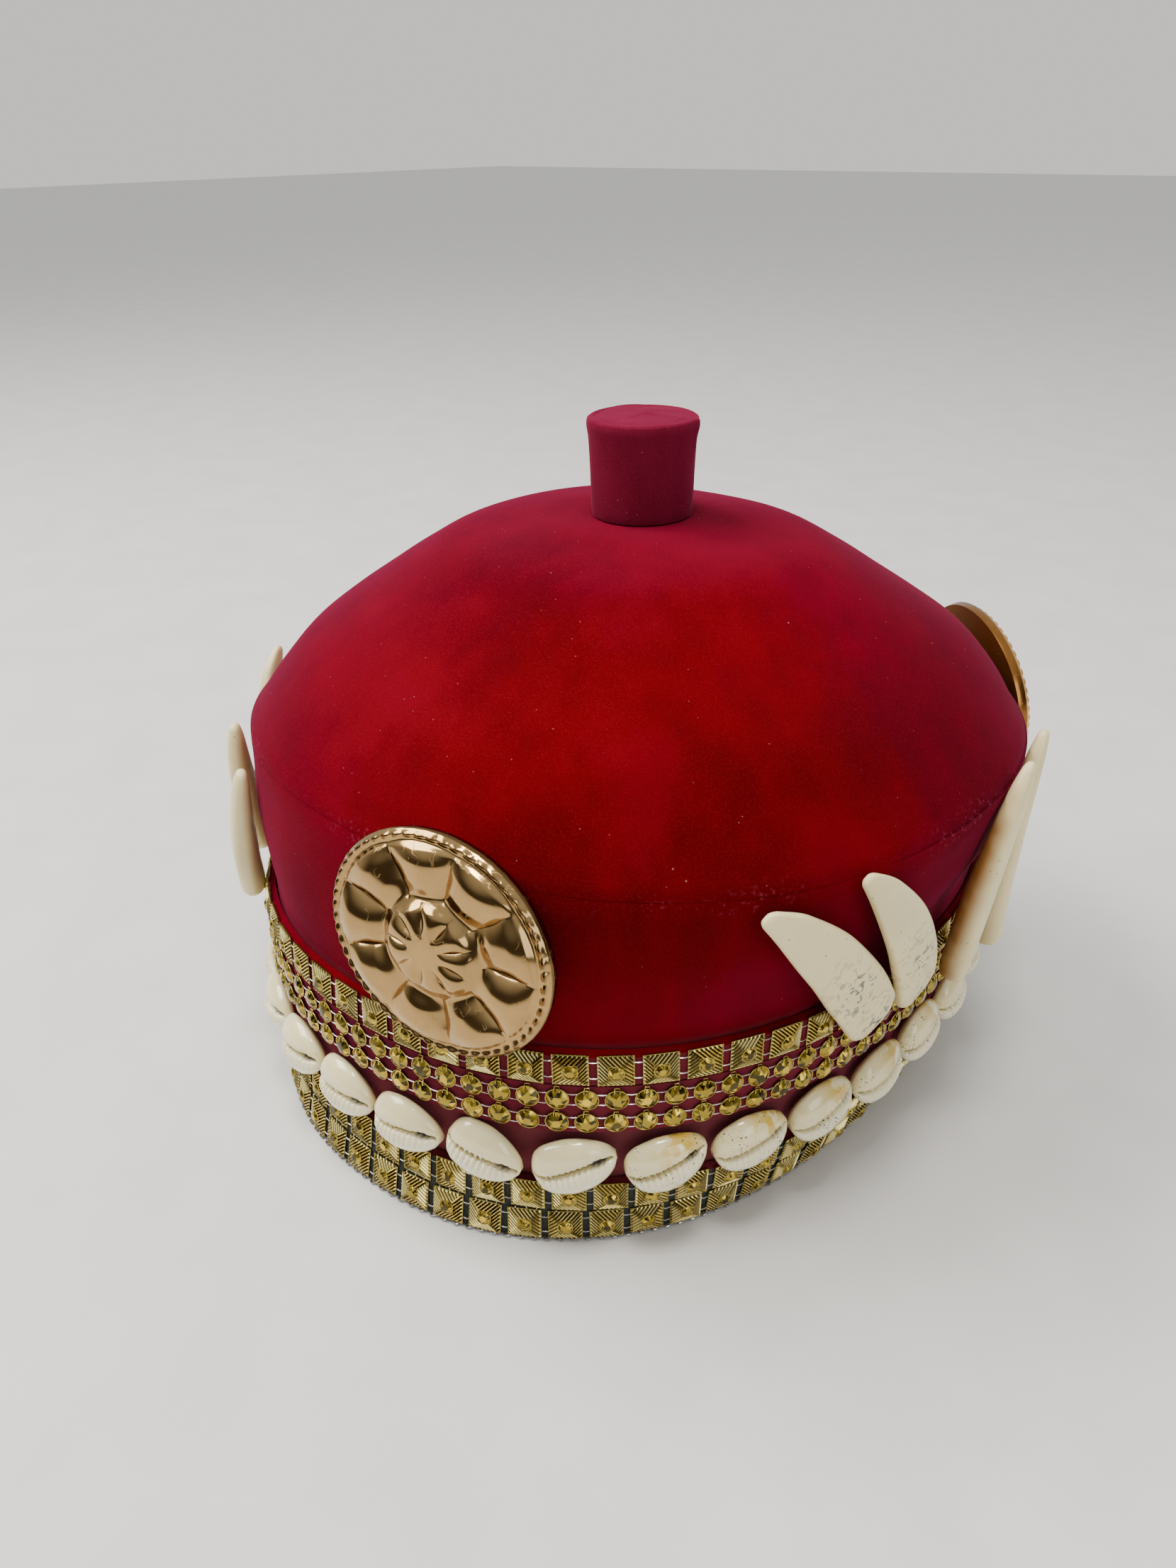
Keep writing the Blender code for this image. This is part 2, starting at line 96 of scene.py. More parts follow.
@dataclass(frozen=True)
class HatForm:
    """The hat's main surface, as in the CAD: an oval wall and a tent-like top.

    A place is a turn in degrees (0 at +X), a height above the rim and a distance out of the
    velvet, in metres.
    """

    half_width: float = 89.9 * MM
    half_length: float = 100.8 * MM
    power: float = 2.2
    wall_height: float = 96.8 * MM
    swell: float = 10.0 * MM
    cloth: float = 2.5 * MM
    dome_height: float = 51.2 * MM
    wall: Sequence[WallRow] = (
        WallRow(0.00, -0.81, 0.37), WallRow(0.19, -0.27, 0.05), WallRow(0.37, 0.00, 0.13),
        WallRow(0.62, 0.17, -0.01), WallRow(0.84, 0.94, -0.10), WallRow(1.00, 1.10, -0.43))
    dome: Sequence[DomeRow] = (
        DomeRow(0.000, 1.000), DomeRow(0.115, 0.970), DomeRow(0.264, 0.911),
        DomeRow(0.396, 0.848), DomeRow(0.528, 0.760), DomeRow(0.660, 0.661),
        DomeRow(0.791, 0.560), DomeRow(0.915, 0.442), DomeRow(0.970, 0.310),
        DomeRow(0.997, 0.180), DomeRow(1.000, 0.000))

    def oval(self, turn: np.ndarray, side: np.ndarray, end: np.ndarray,
             out: np.ndarray) -> tuple[np.ndarray, np.ndarray]:
        """Points of the oval at some turns, and the ways out of it.

        Args:
            turn: Turns in degrees.
            side: Swell at the two sides, in metres.
            end: Swell at the two ends, in metres.
            out: Distance outside the swollen oval, in metres.

        Returns:
            The points and the unit ways out, both with x and y in the last axis.
        """
        angle = np.radians(turn)
        cos, sin = np.cos(angle), np.sin(angle)
        x = self.half_width * np.copysign(np.abs(cos) ** (2 / self.power), cos)
        y = self.half_length * np.copysign(np.abs(sin) ** (2 / self.power), sin)
        way = np.stack([cos / self.half_width, sin / self.half_length], -1)
        way /= np.linalg.norm(way, axis=-1, keepdims=True)
        distance = (side + end) / 2 + (side - end) / 2 * np.cos(2 * angle) + out
        return np.stack([x, y], -1) + way * distance[..., None], way

    def wall_points(self, turn: Numbers, height: Numbers, out: Numbers = 0.0) -> np.ndarray:
        """Points on or in front of the velvet wall, which goes straight up above the seam.

        Args:
            turn: Turns in degrees.
            height: Heights above the rim.
            out: Distances out of the velvet.

        Returns:
            The points, with x, y and z in the last axis.
        """
        turn, height, out = np.broadcast_arrays(
            np.asarray(turn, float), np.asarray(height, float), np.asarray(out, float))
        share = np.clip(height / self.wall_height, 0, 1)
        rows = [row.height for row in self.wall]
        side = smooth_through(rows, [row.side for row in self.wall], share) * self.swell
        end = smooth_through(rows, [row.end for row in self.wall], share) * self.swell
        flat, _ = self.oval(turn, side, end, out)
        return np.concatenate([flat, height[..., None]], -1)

    def dome_points(self, turn: np.ndarray, along: np.ndarray, thin: Numbers) -> np.ndarray:
        """Points of the top.

        Args:
            turn: Turns in degrees.
            along: How far in from the seam at 0 to the middle at 1.
            thin: Distance below the velvet.

        Returns:
            The points, with x, y and z in the last axis.
        """
        places = np.linspace(0, 1, len(self.dome))
        radii = [row.radius for row in self.dome]
        heights = [row.height for row in self.dome]
        radius = smooth_through(places, radii, along)
        height = smooth_through(places, heights, along) * self.dome_height
        step = 1e-3
        before, after = np.clip(along - step, 0, 1), np.clip(along + step, 0, 1)
        run = -(smooth_through(places, radii, after) - smooth_through(places, radii, before))
        climb = smooth_through(places, heights, after) - smooth_through(places, heights, before)
        run, climb = run * self.half_length, climb * self.dome_height
        length = np.maximum(np.hypot(run, climb), 1e-9)
        seam = self.wall_points(turn, self.wall_height)
        _, way = self.oval(turn, 0 * turn, 0 * turn, 0 * turn)
        flat = seam[..., :2] * radius[..., None] - way * (climb / length * thin)[..., None]
        rise = self.wall_height + height - run / length * thin
        return np.concatenate([flat, rise[..., None]], -1)

    def even_turns(self, count: int, height: float, first: float = 0.0) -> np.ndarray:
        """Turns that divide the wall evenly by its length round the hat.

        Args:
            count: How many turns are wanted.
            height: The height at which the wall's length counts.
            first: The first turn, in degrees.

        Returns:
            The turns in degrees.
        """
        turns = first + np.linspace(0, 360, 2881)
        points = self.wall_points(turns, height)
        steps = np.linalg.norm(np.diff(points, axis=0), axis=1)
        lengths = np.concatenate([[0], np.cumsum(steps)])
        return np.interp(lengths[-1] * np.arange(count) / count, lengths, turns)

    def girth(self, height: float) -> float:
        """Length round the wall at a height."""
        points = self.wall_points(np.linspace(0, 360, 721), height)
        return float(np.linalg.norm(np.diff(points, axis=0), axis=1).sum())

    def place(self, turn: float, height: float, out: float, tilt: float = 0.0,
              lean: float = 0.0) -> Matrix:
        """A frame laid on the wall: x along it, y up it and z out of it.

        Args:
            turn: Turn in degrees.
            height: Height above the rim.
            out: Distance out of the velvet.
            tilt: Turn in the wall's own plane, in degrees.
            lean: How far the top is tipped back into the wall, in degrees.

        Returns:
            The frame as a matrix.
        """
        middle = self.wall_points([turn, turn - 0.5, turn + 0.5], height, out)
        rise = self.wall_points(turn, np.array([height - MM, height + MM]))
        along = Vector(middle[2] - middle[1]).normalized()
        above = Vector(rise[1] - rise[0])
        up = (above - along * above.dot(along)).normalized()
        turned = Matrix((along, up, along.cross(up))).transposed().to_4x4()
        turned = turned @ Matrix.Rotation(-math.radians(lean), 4, "X")
        turned = turned @ Matrix.Rotation(math.radians(tilt), 4, "Z")
        return Matrix.Translation(Vector(middle[0])) @ turned


def smooth_through(places: Numbers, values: Numbers, at: Numbers) -> np.ndarray:
    """Reads a curve that passes smoothly through a table's values, without overshoot.

    Args:
        places: The table's places, rising.
        values: Its value at each place.
        at: The places to read.

    Returns:
        A value for each place that is read.
    """
    places, values = np.asarray(places, float), np.asarray(values, float)
    at = np.asarray(at, float)
    steps = np.diff(places)
    rises = np.diff(values) / steps
    slopes = np.zeros_like(values)
    slopes[0], slopes[-1] = rises[0], rises[-1]
    same = rises[1:] * rises[:-1] > 0
    total = rises[1:] + rises[:-1]
    slopes[1:-1] = np.where(same, 2 * rises[1:] * rises[:-1] / np.where(same, total, 1), 0)
    i = np.clip(np.searchsorted(places, at, side="right") - 1, 0, len(steps) - 1)
    t = np.clip((at - places[i]) / steps[i], 0, 1)
    a = (1 + 2 * t) * (1 - t) ** 2 * values[i] + t * (1 - t) ** 2 * steps[i] * slopes[i]
    b = t * t * (3 - 2 * t) * values[i + 1] + t * t * (t - 1) * steps[i] * slopes[i + 1]
    return a + b


def gentle_noise(turn: np.ndarray, rise: np.ndarray, seed: int, waves: int = 7) -> np.ndarray:
    """A soft wandering value about 0, periodic round the hat, for dents and loose cloth.

    Args:
        turn: Turns in degrees.
        rise: Shares of the way up, or along.
        seed: Number that the waves come from.
        waves: How many waves are added up.

    Returns:
        A value from -1 to 1 for each place.
    """
    chance = random.Random(seed)
    total = np.zeros(np.broadcast(turn, rise).shape)
    for _ in range(waves):
        lobes = chance.randint(1, 7)
        pace = chance.uniform(0.5, 3.0)
        total = total + np.sin(
            np.radians(turn) * lobes + rise * pace * math.tau + chance.uniform(0, math.tau))
    return total / waves


class MeshParts:
    """Collects points and faces of many small shapes, to become one mesh."""

    def __init__(self) -> None:
        """Starts with nothing."""
        self.points: list[np.ndarray] = []
        self.faces: Faces = []
        self.slots: list[int] = []
        self.marks: list[np.ndarray] = []
        self.count = 0

    def add(self, points: np.ndarray, faces: Sequence[Sequence[int]], slot: int = 0,
            place: Matrix | None = None, marks: np.ndarray | None = None) -> None:
        """Adds one shape.

        Args:
            points: The shape's points, one per row.
            faces: Its faces, as indices of its points.
            slot: The material slot of its faces.
            place: A frame that its points are in, if not the object's.
            marks: A value from 0 to 1 for each point, 0.5 if none is given.
        """
        points = np.asarray(points, float)
        self.marks.append(np.full(len(points), 0.5) if marks is None else marks)
        if place is not None:
            turn = np.array(place)
            points = points @ turn[:3, :3].T + turn[:3, 3]
        self.points.append(points)
        self.faces.extend(tuple(i + self.count for i in face) for face in faces)
        self.slots.extend([slot] * len(faces))
        self.count += len(points)

    def build(self, name: str, materials: Sequence[bpy.types.Material],
              smooth: float | None = None) -> bpy.types.Object:
        """Makes the object.

        Args:
            name: Its name.
            materials: Its materials, by slot.
            smooth: The angle in degrees below which it is shaded smooth, if it is.

        Returns:
            The object, linked to the scene.
        """
        mesh = bpy.data.meshes.new(name)
        mesh.from_pydata(np.concatenate(self.points).tolist(), [], self.faces)
        mesh.polygons.foreach_set("material_index", self.slots)
        if smooth is not None:
            mesh.shade_smooth()
            mesh.set_sharp_from_angle(angle=math.radians(smooth))
        for item in materials:
            mesh.materials.append(item)
        mesh.validate()
        return link(name, mesh)


def link(name: str, data: bpy.types.ID) -> bpy.types.Object:
    """Makes an object and links it to the scene.

    Args:
        name: The object's name.
        data: Its mesh, lamp or camera.

    Returns:
        The object.
    """
    obj = bpy.data.objects.new(name, data)
    bpy.context.scene.collection.objects.link(obj)
    return obj


def give_marks(obj: bpy.types.Object, title: str, values: np.ndarray) -> None:
    """Gives a mesh a value for each point, which its finish reads by the title."""
    layer = obj.data.attributes.new(title, "FLOAT", "POINT")
    layer.data.foreach_set("value", values)


def grid_faces(rows: int, columns: int) -> Faces:
    """Quads that join rings of points.

    Args:
        rows: How many rings there are.
        columns: How many points a ring has.

    Returns:
        The quads.
    """
    return [(a * columns + i, a * columns + (i + 1) % columns,
             (a + 1) * columns + (i + 1) % columns, (a + 1) * columns + i)
            for a in range(rows - 1) for i in range(columns)]


def capped_faces(rows: int, columns: int) -> Faces:
    """The same quads, with a flat face on the first ring and on the last."""
    return grid_faces(rows, columns) + [
        tuple(reversed(range(columns))), tuple(range((rows - 1) * columns, rows * columns))]


def looped_faces(rows: int, columns: int) -> Faces:
    """The same quads, with the last ring joined to the first.

    Args:
        rows: How many rings there are.
        columns: How many points a ring has.

    Returns:
        The quads.
    """
    last = (rows - 1) * columns
    return grid_faces(rows, columns) + [
        (last + i, last + (i + 1) % columns, (i + 1) % columns, i) for i in range(columns)]


def tube(path: np.ndarray, radius: float, sides: int = 6,
         closed: bool = False) -> tuple[np.ndarray, Faces]:
    """A round wire along a path, with flat ends unless it is closed.

    Args:
        path: Points of its middle line.
        radius: Its radius.
        sides: How many sides it has.
        closed: Whether its last point joins its first.

    Returns:
        Its points and faces.
    """
    path = np.asarray(path, float)
    if closed:
        ahead = np.roll(path, -1, 0) - np.roll(path, 1, 0)
    else:
        ahead = np.gradient(path, axis=0)
    ahead /= np.linalg.norm(ahead, axis=1, keepdims=True)
    upright = np.array([0.0, 0.0, 1.0])
    if abs(ahead[0] @ upright) > 0.9:
        upright = np.array([0.0, 1.0, 0.0])
    first = np.cross(ahead, upright)
    first /= np.linalg.norm(first, axis=1, keepdims=True)
    second = np.cross(ahead, first)
    angle = np.arange(sides) * math.tau / sides
    rings = (path[:, None] + radius * (
        np.cos(angle)[None, :, None] * first[:, None] + np.sin(angle)[None, :, None] * second[:, None]))
    join = looped_faces if closed else capped_faces
    return rings.reshape(-1, 3), join(len(path), sides)


def scaled(color: Color, share: float) -> Color:
    """A colour made darker or lighter, up to full."""
    return tuple(min(c * share, 1) for c in color)


class Tree:
    """Short calls that add and join nodes in a node tree."""

    def __init__(self, tree: bpy.types.NodeTree) -> None:
        """Keeps the node tree that the calls work on."""
        self.tree = tree

    def add(self, kind: str, inputs: dict | None = None, **settings) -> bpy.types.Node:
        """Adds a node.

        Args:
            kind: The node's type.
            inputs: Values or sockets for its inputs, by name or index.
            **settings: Properties of the node.

        Returns:
            The node.
        """
        node = self.tree.nodes.new(kind)
        for key, value in settings.items():
            setattr(node, key, value)
        for key, value in (inputs or {}).items():
            self.feed(node.inputs[key], value)
        return node

    def feed(self, socket: Socket, value: Feed) -> None:
        """Joins a socket to another, or sets its value.

        Args:
            socket: The socket to feed.
            value: What it takes: another socket, or a number or colour.
        """
        if isinstance(value, Socket):
            self.tree.links.new(value, socket)
        else:
            socket.default_value = value

    def math(self, operation: str, a: Feed, b: Feed = 0.0, c: Feed = 0.0) -> Socket:
        """A maths node's result."""
        node = self.add("ShaderNodeMath", {0: a, 1: b, 2: c}, operation=operation)
        return node.outputs[0]

    def times(self, a: Feed, b: Feed) -> Socket:
        """Two values multiplied."""
        return self.math("MULTIPLY", a, b)

    def blend(self, share: Feed, a: Feed, b: Feed) -> Socket:
        """A colour between two colours.

        Args:
            share: How much of the second colour, from 0 to 1.
            a: The first colour, a socket or three numbers.
            b: The second colour.

        Returns:
            The colour's socket.
        """
        node = self.add("ShaderNodeMix", {0: share}, data_type="RGBA")
        for place, color in ((6, a), (7, b)):
            self.feed(node.inputs[place], color if isinstance(color, Socket) else (*color, 1))
        return node.outputs[2]

    def noise(self, vector: Feed, scale: Feed, detail: float = 2.0) -> Socket:
        """A noise texture's value."""
        node = self.add("ShaderNodeTexNoise", {"Vector": vector, "Scale": scale, "Detail": detail})
        return node.outputs["Fac"]

    def step(self, value: Feed, low: float, high: float) -> Socket:
        """A value that rises smoothly from 0 at low to 1 at high.

        Args:
            value: The value to read.
            low: Where the result is 0.
            high: Where it is 1; it may be below low.

        Returns:
            The result's socket.
        """
        node = self.add(
            "ShaderNodeMapRange", {"Value": value, "From Min": low, "From Max": high},
            interpolation_type="SMOOTHSTEP")
        return node.outputs["Result"]


def node_group(name: str, inputs: Sequence[tuple[str, str, float | None]],
               outputs: Sequence[str]) -> tuple[bpy.types.NodeTree, Tree, dict, bpy.types.Node]:
    """Starts a shader group with named sockets.

    Args:
        name: The group's name.
        inputs: Name, socket type and default of each input.
        outputs: Name of each output, all of them values.

    Returns:
        The group, its tree helper, its input sockets by name and its output node.
    """
    group = bpy.data.node_groups.new(name, "ShaderNodeTree")
    for title, kind, default in inputs:
        socket = group.interface.new_socket(name=title, in_out="INPUT", socket_type=kind)
        if default is not None:
            socket.default_value = default
    for title in outputs:
        group.interface.new_socket(name=title, in_out="OUTPUT", socket_type="NodeSocketFloat")
    tree = Tree(group)
    given = tree.add("NodeGroupInput")
    result = tree.add("NodeGroupOutput")
    return group, tree, {title: given.outputs[title] for title, _, _ in inputs}, result


class Effects:
    """The shader groups that the finishes share, each made once."""

    @staticmethod
    @cache
    def speckle() -> bpy.types.NodeTree:
        """Small separate specks, such as lint, pits and dust.

        Returns:
            The group, which puts out a mask.
        """
        group, tree, given, result = node_group("speckle", (
            ("Vector", "NodeSocketVector", None), ("Scale", "NodeSocketFloat", 300.0),
            ("Amount", "NodeSocketFloat", 0.1), ("Size", "NodeSocketFloat", 0.2)), ("Mask",))
        cells = tree.add("ShaderNodeTexVoronoi", {"Vector": given["Vector"], "Scale": given["Scale"]})
        parts = tree.add("ShaderNodeSeparateColor", {"Color": cells.outputs["Color"]})
        chosen = tree.math("LESS_THAN", parts.outputs[0], given["Amount"])
        near = tree.math("LESS_THAN", cells.outputs["Distance"], given["Size"])
        tree.feed(result.inputs["Mask"], tree.times(chosen, near))
        return group

    @staticmethod
    @cache
    def scratches() -> bpy.types.NodeTree:
        """Fine broken scratches.

        Returns:
            The group, which puts out a mask.
        """
        group, tree, given, result = node_group("scratches", (
            ("Vector", "NodeSocketVector", None), ("Scale", "NodeSocketFloat", 60.0),
            ("Width", "NodeSocketFloat", 0.02)), ("Mask",))
        ridge = tree.math("ABSOLUTE", tree.math(
            "SUBTRACT", tree.noise(given["Vector"], given["Scale"], 3.0), 0.5))
        line = tree.math("LESS_THAN", ridge, given["Width"])
        broken = tree.math("GREATER_THAN", tree.noise(
            given["Vector"], tree.times(given["Scale"], 2.0)), 0.54)
        tree.feed(result.inputs["Mask"], tree.times(line, broken))
        return group

    @staticmethod
    @cache
    def wear() -> bpy.types.NodeTree:
        """How worn a raised edge is, and how sunken a place is, from the mesh's own shape; the gold
        finish uses the second mask for painted shade.

        Returns:
            The group, which puts out a mask for each.
        """
        group, tree, given, result = node_group("wear", (
            ("Vector", "NodeSocketVector", None), ("Scale", "NodeSocketFloat", 400.0)),
            ("Edge", "Hollow"))
        shape = tree.add("ShaderNodeNewGeometry").outputs["Pointiness"]
        patchy = tree.noise(given["Vector"], given["Scale"])
        edge = tree.times(tree.step(shape, 0.51, 0.58), tree.step(patchy, 0.25, 0.55))
        tree.feed(result.inputs["Edge"], edge)
        # sunken places: the mask for painted shade in the gold, and for the cast metal's darker hollows
        tree.feed(result.inputs["Hollow"], tree.step(shape, 0.495, 0.44))
        return group


class Finish:
    """What the finishes share: a new material with a shader to dress."""

    name: str

    def start(self) -> tuple[bpy.types.Material, Tree, bpy.types.Node, Socket]:
        """Makes the material.

        Returns:
            The material, its tree, its shader and its object coordinates.
        """
        made = bpy.data.materials.new(self.name)
        made.use_nodes = True
        tree = Tree(made.node_tree)
        shader = made.node_tree.nodes["Principled BSDF"]
        place = tree.add("ShaderNodeTexCoord").outputs["Object"]
        return made, tree, shader, place

    @staticmethod
    def group(tree: Tree, which: bpy.types.NodeTree, **inputs) -> bpy.types.Node:
        """Adds a shared effect to a tree.

        Args:
            tree: The material's tree.
            which: The effect.
            **inputs: Values or sockets for its inputs.

        Returns:
            The effect's node.
        """
        node = tree.add("ShaderNodeGroup", node_tree=which)
        for key, value in inputs.items():
            tree.feed(node.inputs[key], value)
        return node

    @staticmethod
    def bump(tree: Tree, shader: bpy.types.Node, height: Socket, depth: float, strength: float,
             below: Socket | None = None) -> Socket:
        """Feeds a height into the shader's normal.

        Args:
            tree: The material's tree.
            shader: Its shader.
            height: The height, from 0 to 1.
            depth: What a height of 1 stands for, in metres.
            strength: How strong the bump is.
            below: A coarser bump that it lies on, if there is one.

        Returns:
            The bumped normal.
        """
        node = tree.add("ShaderNodeBump", {"Height": height, "Distance": depth, "Strength": strength})
        if below is not None:
            tree.feed(node.inputs["Normal"], below)
        tree.feed(shader.inputs["Normal"], node.outputs["Normal"])
        return node.outputs["Normal"]


@dataclass(frozen=True)
class VelvetFinish(Finish):
    """Brushed cotton velvet: a nap with darker strokes, painted glints on the pile, scuffs along the
    seam, some lint and a painted sheen at grazing angles.
    """

    name: str = "velvet_red"
    deep: Color = (0.082, 0.0001, 0.0010)
    bright: Color = (0.150, 0.0001, 0.0028)
    # painted sheen: the magenta colour the velvet turns towards at grazing angles
    edge: Color = (0.165, 0.0035, 0.0420)
    dusty: Color = (0.165, 0.040, 0.046)
    sheen_weight: float = 0.10
    lint: float = 0.020
    seam: float = 0.0
    dusty_below: float = 0.0

    def material(self) -> bpy.types.Material:
        """Makes the material.

        Returns:
            The material, with its nodes.
        """
        made, tree, shader, place = self.start()
        high = tree.add("ShaderNodeSeparateXYZ", {"Vector": place}).outputs[2]
        nap = tree.noise(place, 17.0, 3.0)
        stretched = tree.add("ShaderNodeMapping", {"Vector": place, "Scale": (1.0, 1.0, 0.25)})
        strokes = tree.noise(stretched.outputs[0], 120.0, 5.0)
        share = tree.math("MULTIPLY_ADD", tree.math("SUBTRACT", strokes, 0.5), 1.2,
                          tree.step(nap, 0.30, 0.75))
        colour = tree.blend(share, self.deep, self.bright)
        pile = tree.noise(place, 2600.0, 2.0)
        glint = (self.bright[0] * 1.6, self.bright[1] + 0.008, self.bright[2] + 0.016)
        colour = tree.blend(tree.times(tree.step(pile, 0.42, 0.78), 0.30), colour, glint)
        patches = tree.step(tree.noise(place, 38.0, 6.0), 0.48, 0.72)
        colour = tree.blend(tree.times(patches, 0.30), colour, (0.18, 0.001, 0.011))
        if self.dusty_below:
            dust = tree.step(high, self.dusty_below, self.dusty_below - 6 * MM)
            dust = tree.times(dust, tree.math("MULTIPLY_ADD", nap, 0.6, 0.6))
            colour = tree.blend(dust, colour, self.dusty)
        if self.seam:
            band = tree.times(tree.step(high, self.seam - 5 * MM, self.seam),
                              tree.step(high, self.seam + 4 * MM, self.seam))
            scuffs = tree.step(tree.noise(place, 900.0, 6.0), 0.55, 0.66)
            where = tree.step(tree.noise(place, 28.0, 3.0), 0.40, 0.62)
            worn = tree.times(band, tree.times(scuffs, where))
            colour = tree.blend(tree.times(worn, 0.45), colour, (0.40, 0.05, 0.10))
        for scale, size in ((350.0, 0.075), (900.0, 0.12)):
            specks = self.group(tree, Effects.speckle(), Vector=place, Scale=scale,
                                Amount=self.lint, Size=size).outputs[0]
            colour = tree.blend(tree.times(specks, 0.40), colour, (0.60, 0.22, 0.24))
        # painted sheen: colour blended towards the edge colour where the velvet is seen at a grazing
        # angle
        facing = tree.add("ShaderNodeLayerWeight", {"Blend": 0.35}).outputs["Facing"]
        rim = tree.times(tree.math("POWER", facing, 1.8), 0.75)
        colour = tree.blend(rim, colour, self.edge)
        tree.feed(shader.inputs["Base Color"], colour)
        shader.inputs["Roughness"].default_value = 1.0
        shader.inputs["Specular IOR Level"].default_value = 0.05
        shader.inputs["Sheen Weight"].default_value = self.sheen_weight
        shader.inputs["Sheen Roughness"].default_value = 0.30
        shader.inputs["Sheen Tint"].default_value = (0.85, 0.16, 0.26, 1)
        soft = self.bump(tree, shader, strokes, 0.4 * MM, 0.25)
        self.bump(tree, shader, pile, 0.15 * MM, 0.5, soft)
        return made


@dataclass(frozen=True)
class GoldFinish(Finish):
    """Plated stamped metal with hatching: bright on its ridges and edges from worn plating and painted
    highlight, and darkened in its hollows with painted shade.
    """

    name: str = "stamped_gold"
    color: Color = (0.45, 0.345, 0.085)
    # worn plating; on the hatched squares it is also a painted highlight along every ridge
    worn: Color = (1.0, 0.84, 0.36)
    # painted shade for the valleys between ridges and for the hollows
    painted_hollow_shade: Color = (0.045, 0.033, 0.005)
    roughness: float = 0.27
    hatched: bool = True

    def material(self) -> bpy.types.Material:
        """Makes the material.

        Returns:
            The material, with its nodes.
        """
        made, tree, shader, place = self.start()
        tone = tree.step(tree.noise(place, 160.0, 3.0), 0.3, 0.7)
        colour = tree.blend(tone, scaled(self.color, 0.72), self.color)
        if self.hatched:
            ridge = tree.add("ShaderNodeAttribute", attribute_name="ridged").outputs["Fac"]
            # painted shade in the valleys between the ridges
            colour = tree.blend(tree.step(ridge, 0.46, 0.15), colour, self.painted_hollow_shade)
            # ridges brightened: worn plating and painted highlight
            colour = tree.blend(tree.step(ridge, 0.56, 0.80), colour, self.worn)
        else:
            wear = self.group(tree, Effects.wear(), Vector=place)
            # painted shade in the hollows
            colour = tree.blend(wear.outputs["Hollow"], colour, self.painted_hollow_shade)
            colour = tree.blend(wear.outputs["Edge"], colour, self.worn)
        shader.inputs["Metallic"].default_value = 1.0
        rough = tree.math("MULTIPLY_ADD", tree.noise(place, 500.0, 2.0), 0.22, self.roughness - 0.11)
        tree.feed(shader.inputs["Roughness"], rough)
        tree.feed(shader.inputs["Base Color"], colour)
        return made


@dataclass(frozen=True)
class StoneFinish(Finish):
    """Foil-backed glass stones: each facet takes its own random tone, from near black to bright gold, as
    painted reflections.
    """

    name: str = "foil_stone"
    # painted reflections: near-black facets for dark reflections, light facets for glints
    dark: Color = (0.045, 0.032, 0.003)
    olive: Color = (0.34, 0.24, 0.020)
    light: Color = (0.78, 0.53, 0.050)

    def material(self) -> bpy.types.Material:
        """Makes the material.

        Returns:
            The material, with its nodes.
        """
        made, tree, shader, place = self.start()
        flat = tree.add("ShaderNodeNewGeometry").outputs["True Normal"]
        snapped = tree.add("ShaderNodeVectorMath", {0: flat, 1: (0.04, 0.04, 0.04)}, operation="SNAP")
        # a random tone per facet, as painted reflections
        chance = tree.add("ShaderNodeTexWhiteNoise", {"Vector": snapped.outputs[0]}).outputs["Value"]
        colour = tree.blend(tree.step(chance, 0.16, 0.40), self.dark, self.olive)
        colour = tree.blend(tree.step(chance, 0.70, 0.98), colour, self.light)
        tree.feed(shader.inputs["Base Color"], colour)
        shader.inputs["Metallic"].default_value = 0.85
        shader.inputs["Roughness"].default_value = 0.16
        shader.inputs["Coat Weight"].default_value = 0.25
        shader.inputs["Coat Roughness"].default_value = 0.03
        self.bump(tree, shader, tree.noise(place, 900.0, 2.0), 0.03 * MM, 0.4)
        return made


@dataclass(frozen=True)
class PlainFinish(Finish):
    """A plain surface with a fine grain: wire, tape or paint."""

    name: str
    color: Color
    roughness: float
    metallic: float = 0.0
    grain: float = 900.0
    depth: float = 0.05 * MM
    contrast: float = 0.35

    def material(self) -> bpy.types.Material:
        """Makes the material.

        Returns:
            The material, with its nodes.
        """
        made, tree, shader, place = self.start()
        grain = tree.noise(place, self.grain, 3.0)
        colour = tree.blend(tree.step(grain, 0.3, 0.7), scaled(self.color, 1 - self.contrast),
                            scaled(self.color, 1 + self.contrast))
        tree.feed(shader.inputs["Base Color"], colour)
        shader.inputs["Metallic"].default_value = self.metallic
        tree.feed(shader.inputs["Roughness"], tree.math("MULTIPLY_ADD", grain, 0.2, self.roughness - 0.1))
        self.bump(tree, shader, grain, self.depth, 0.7)
        return made


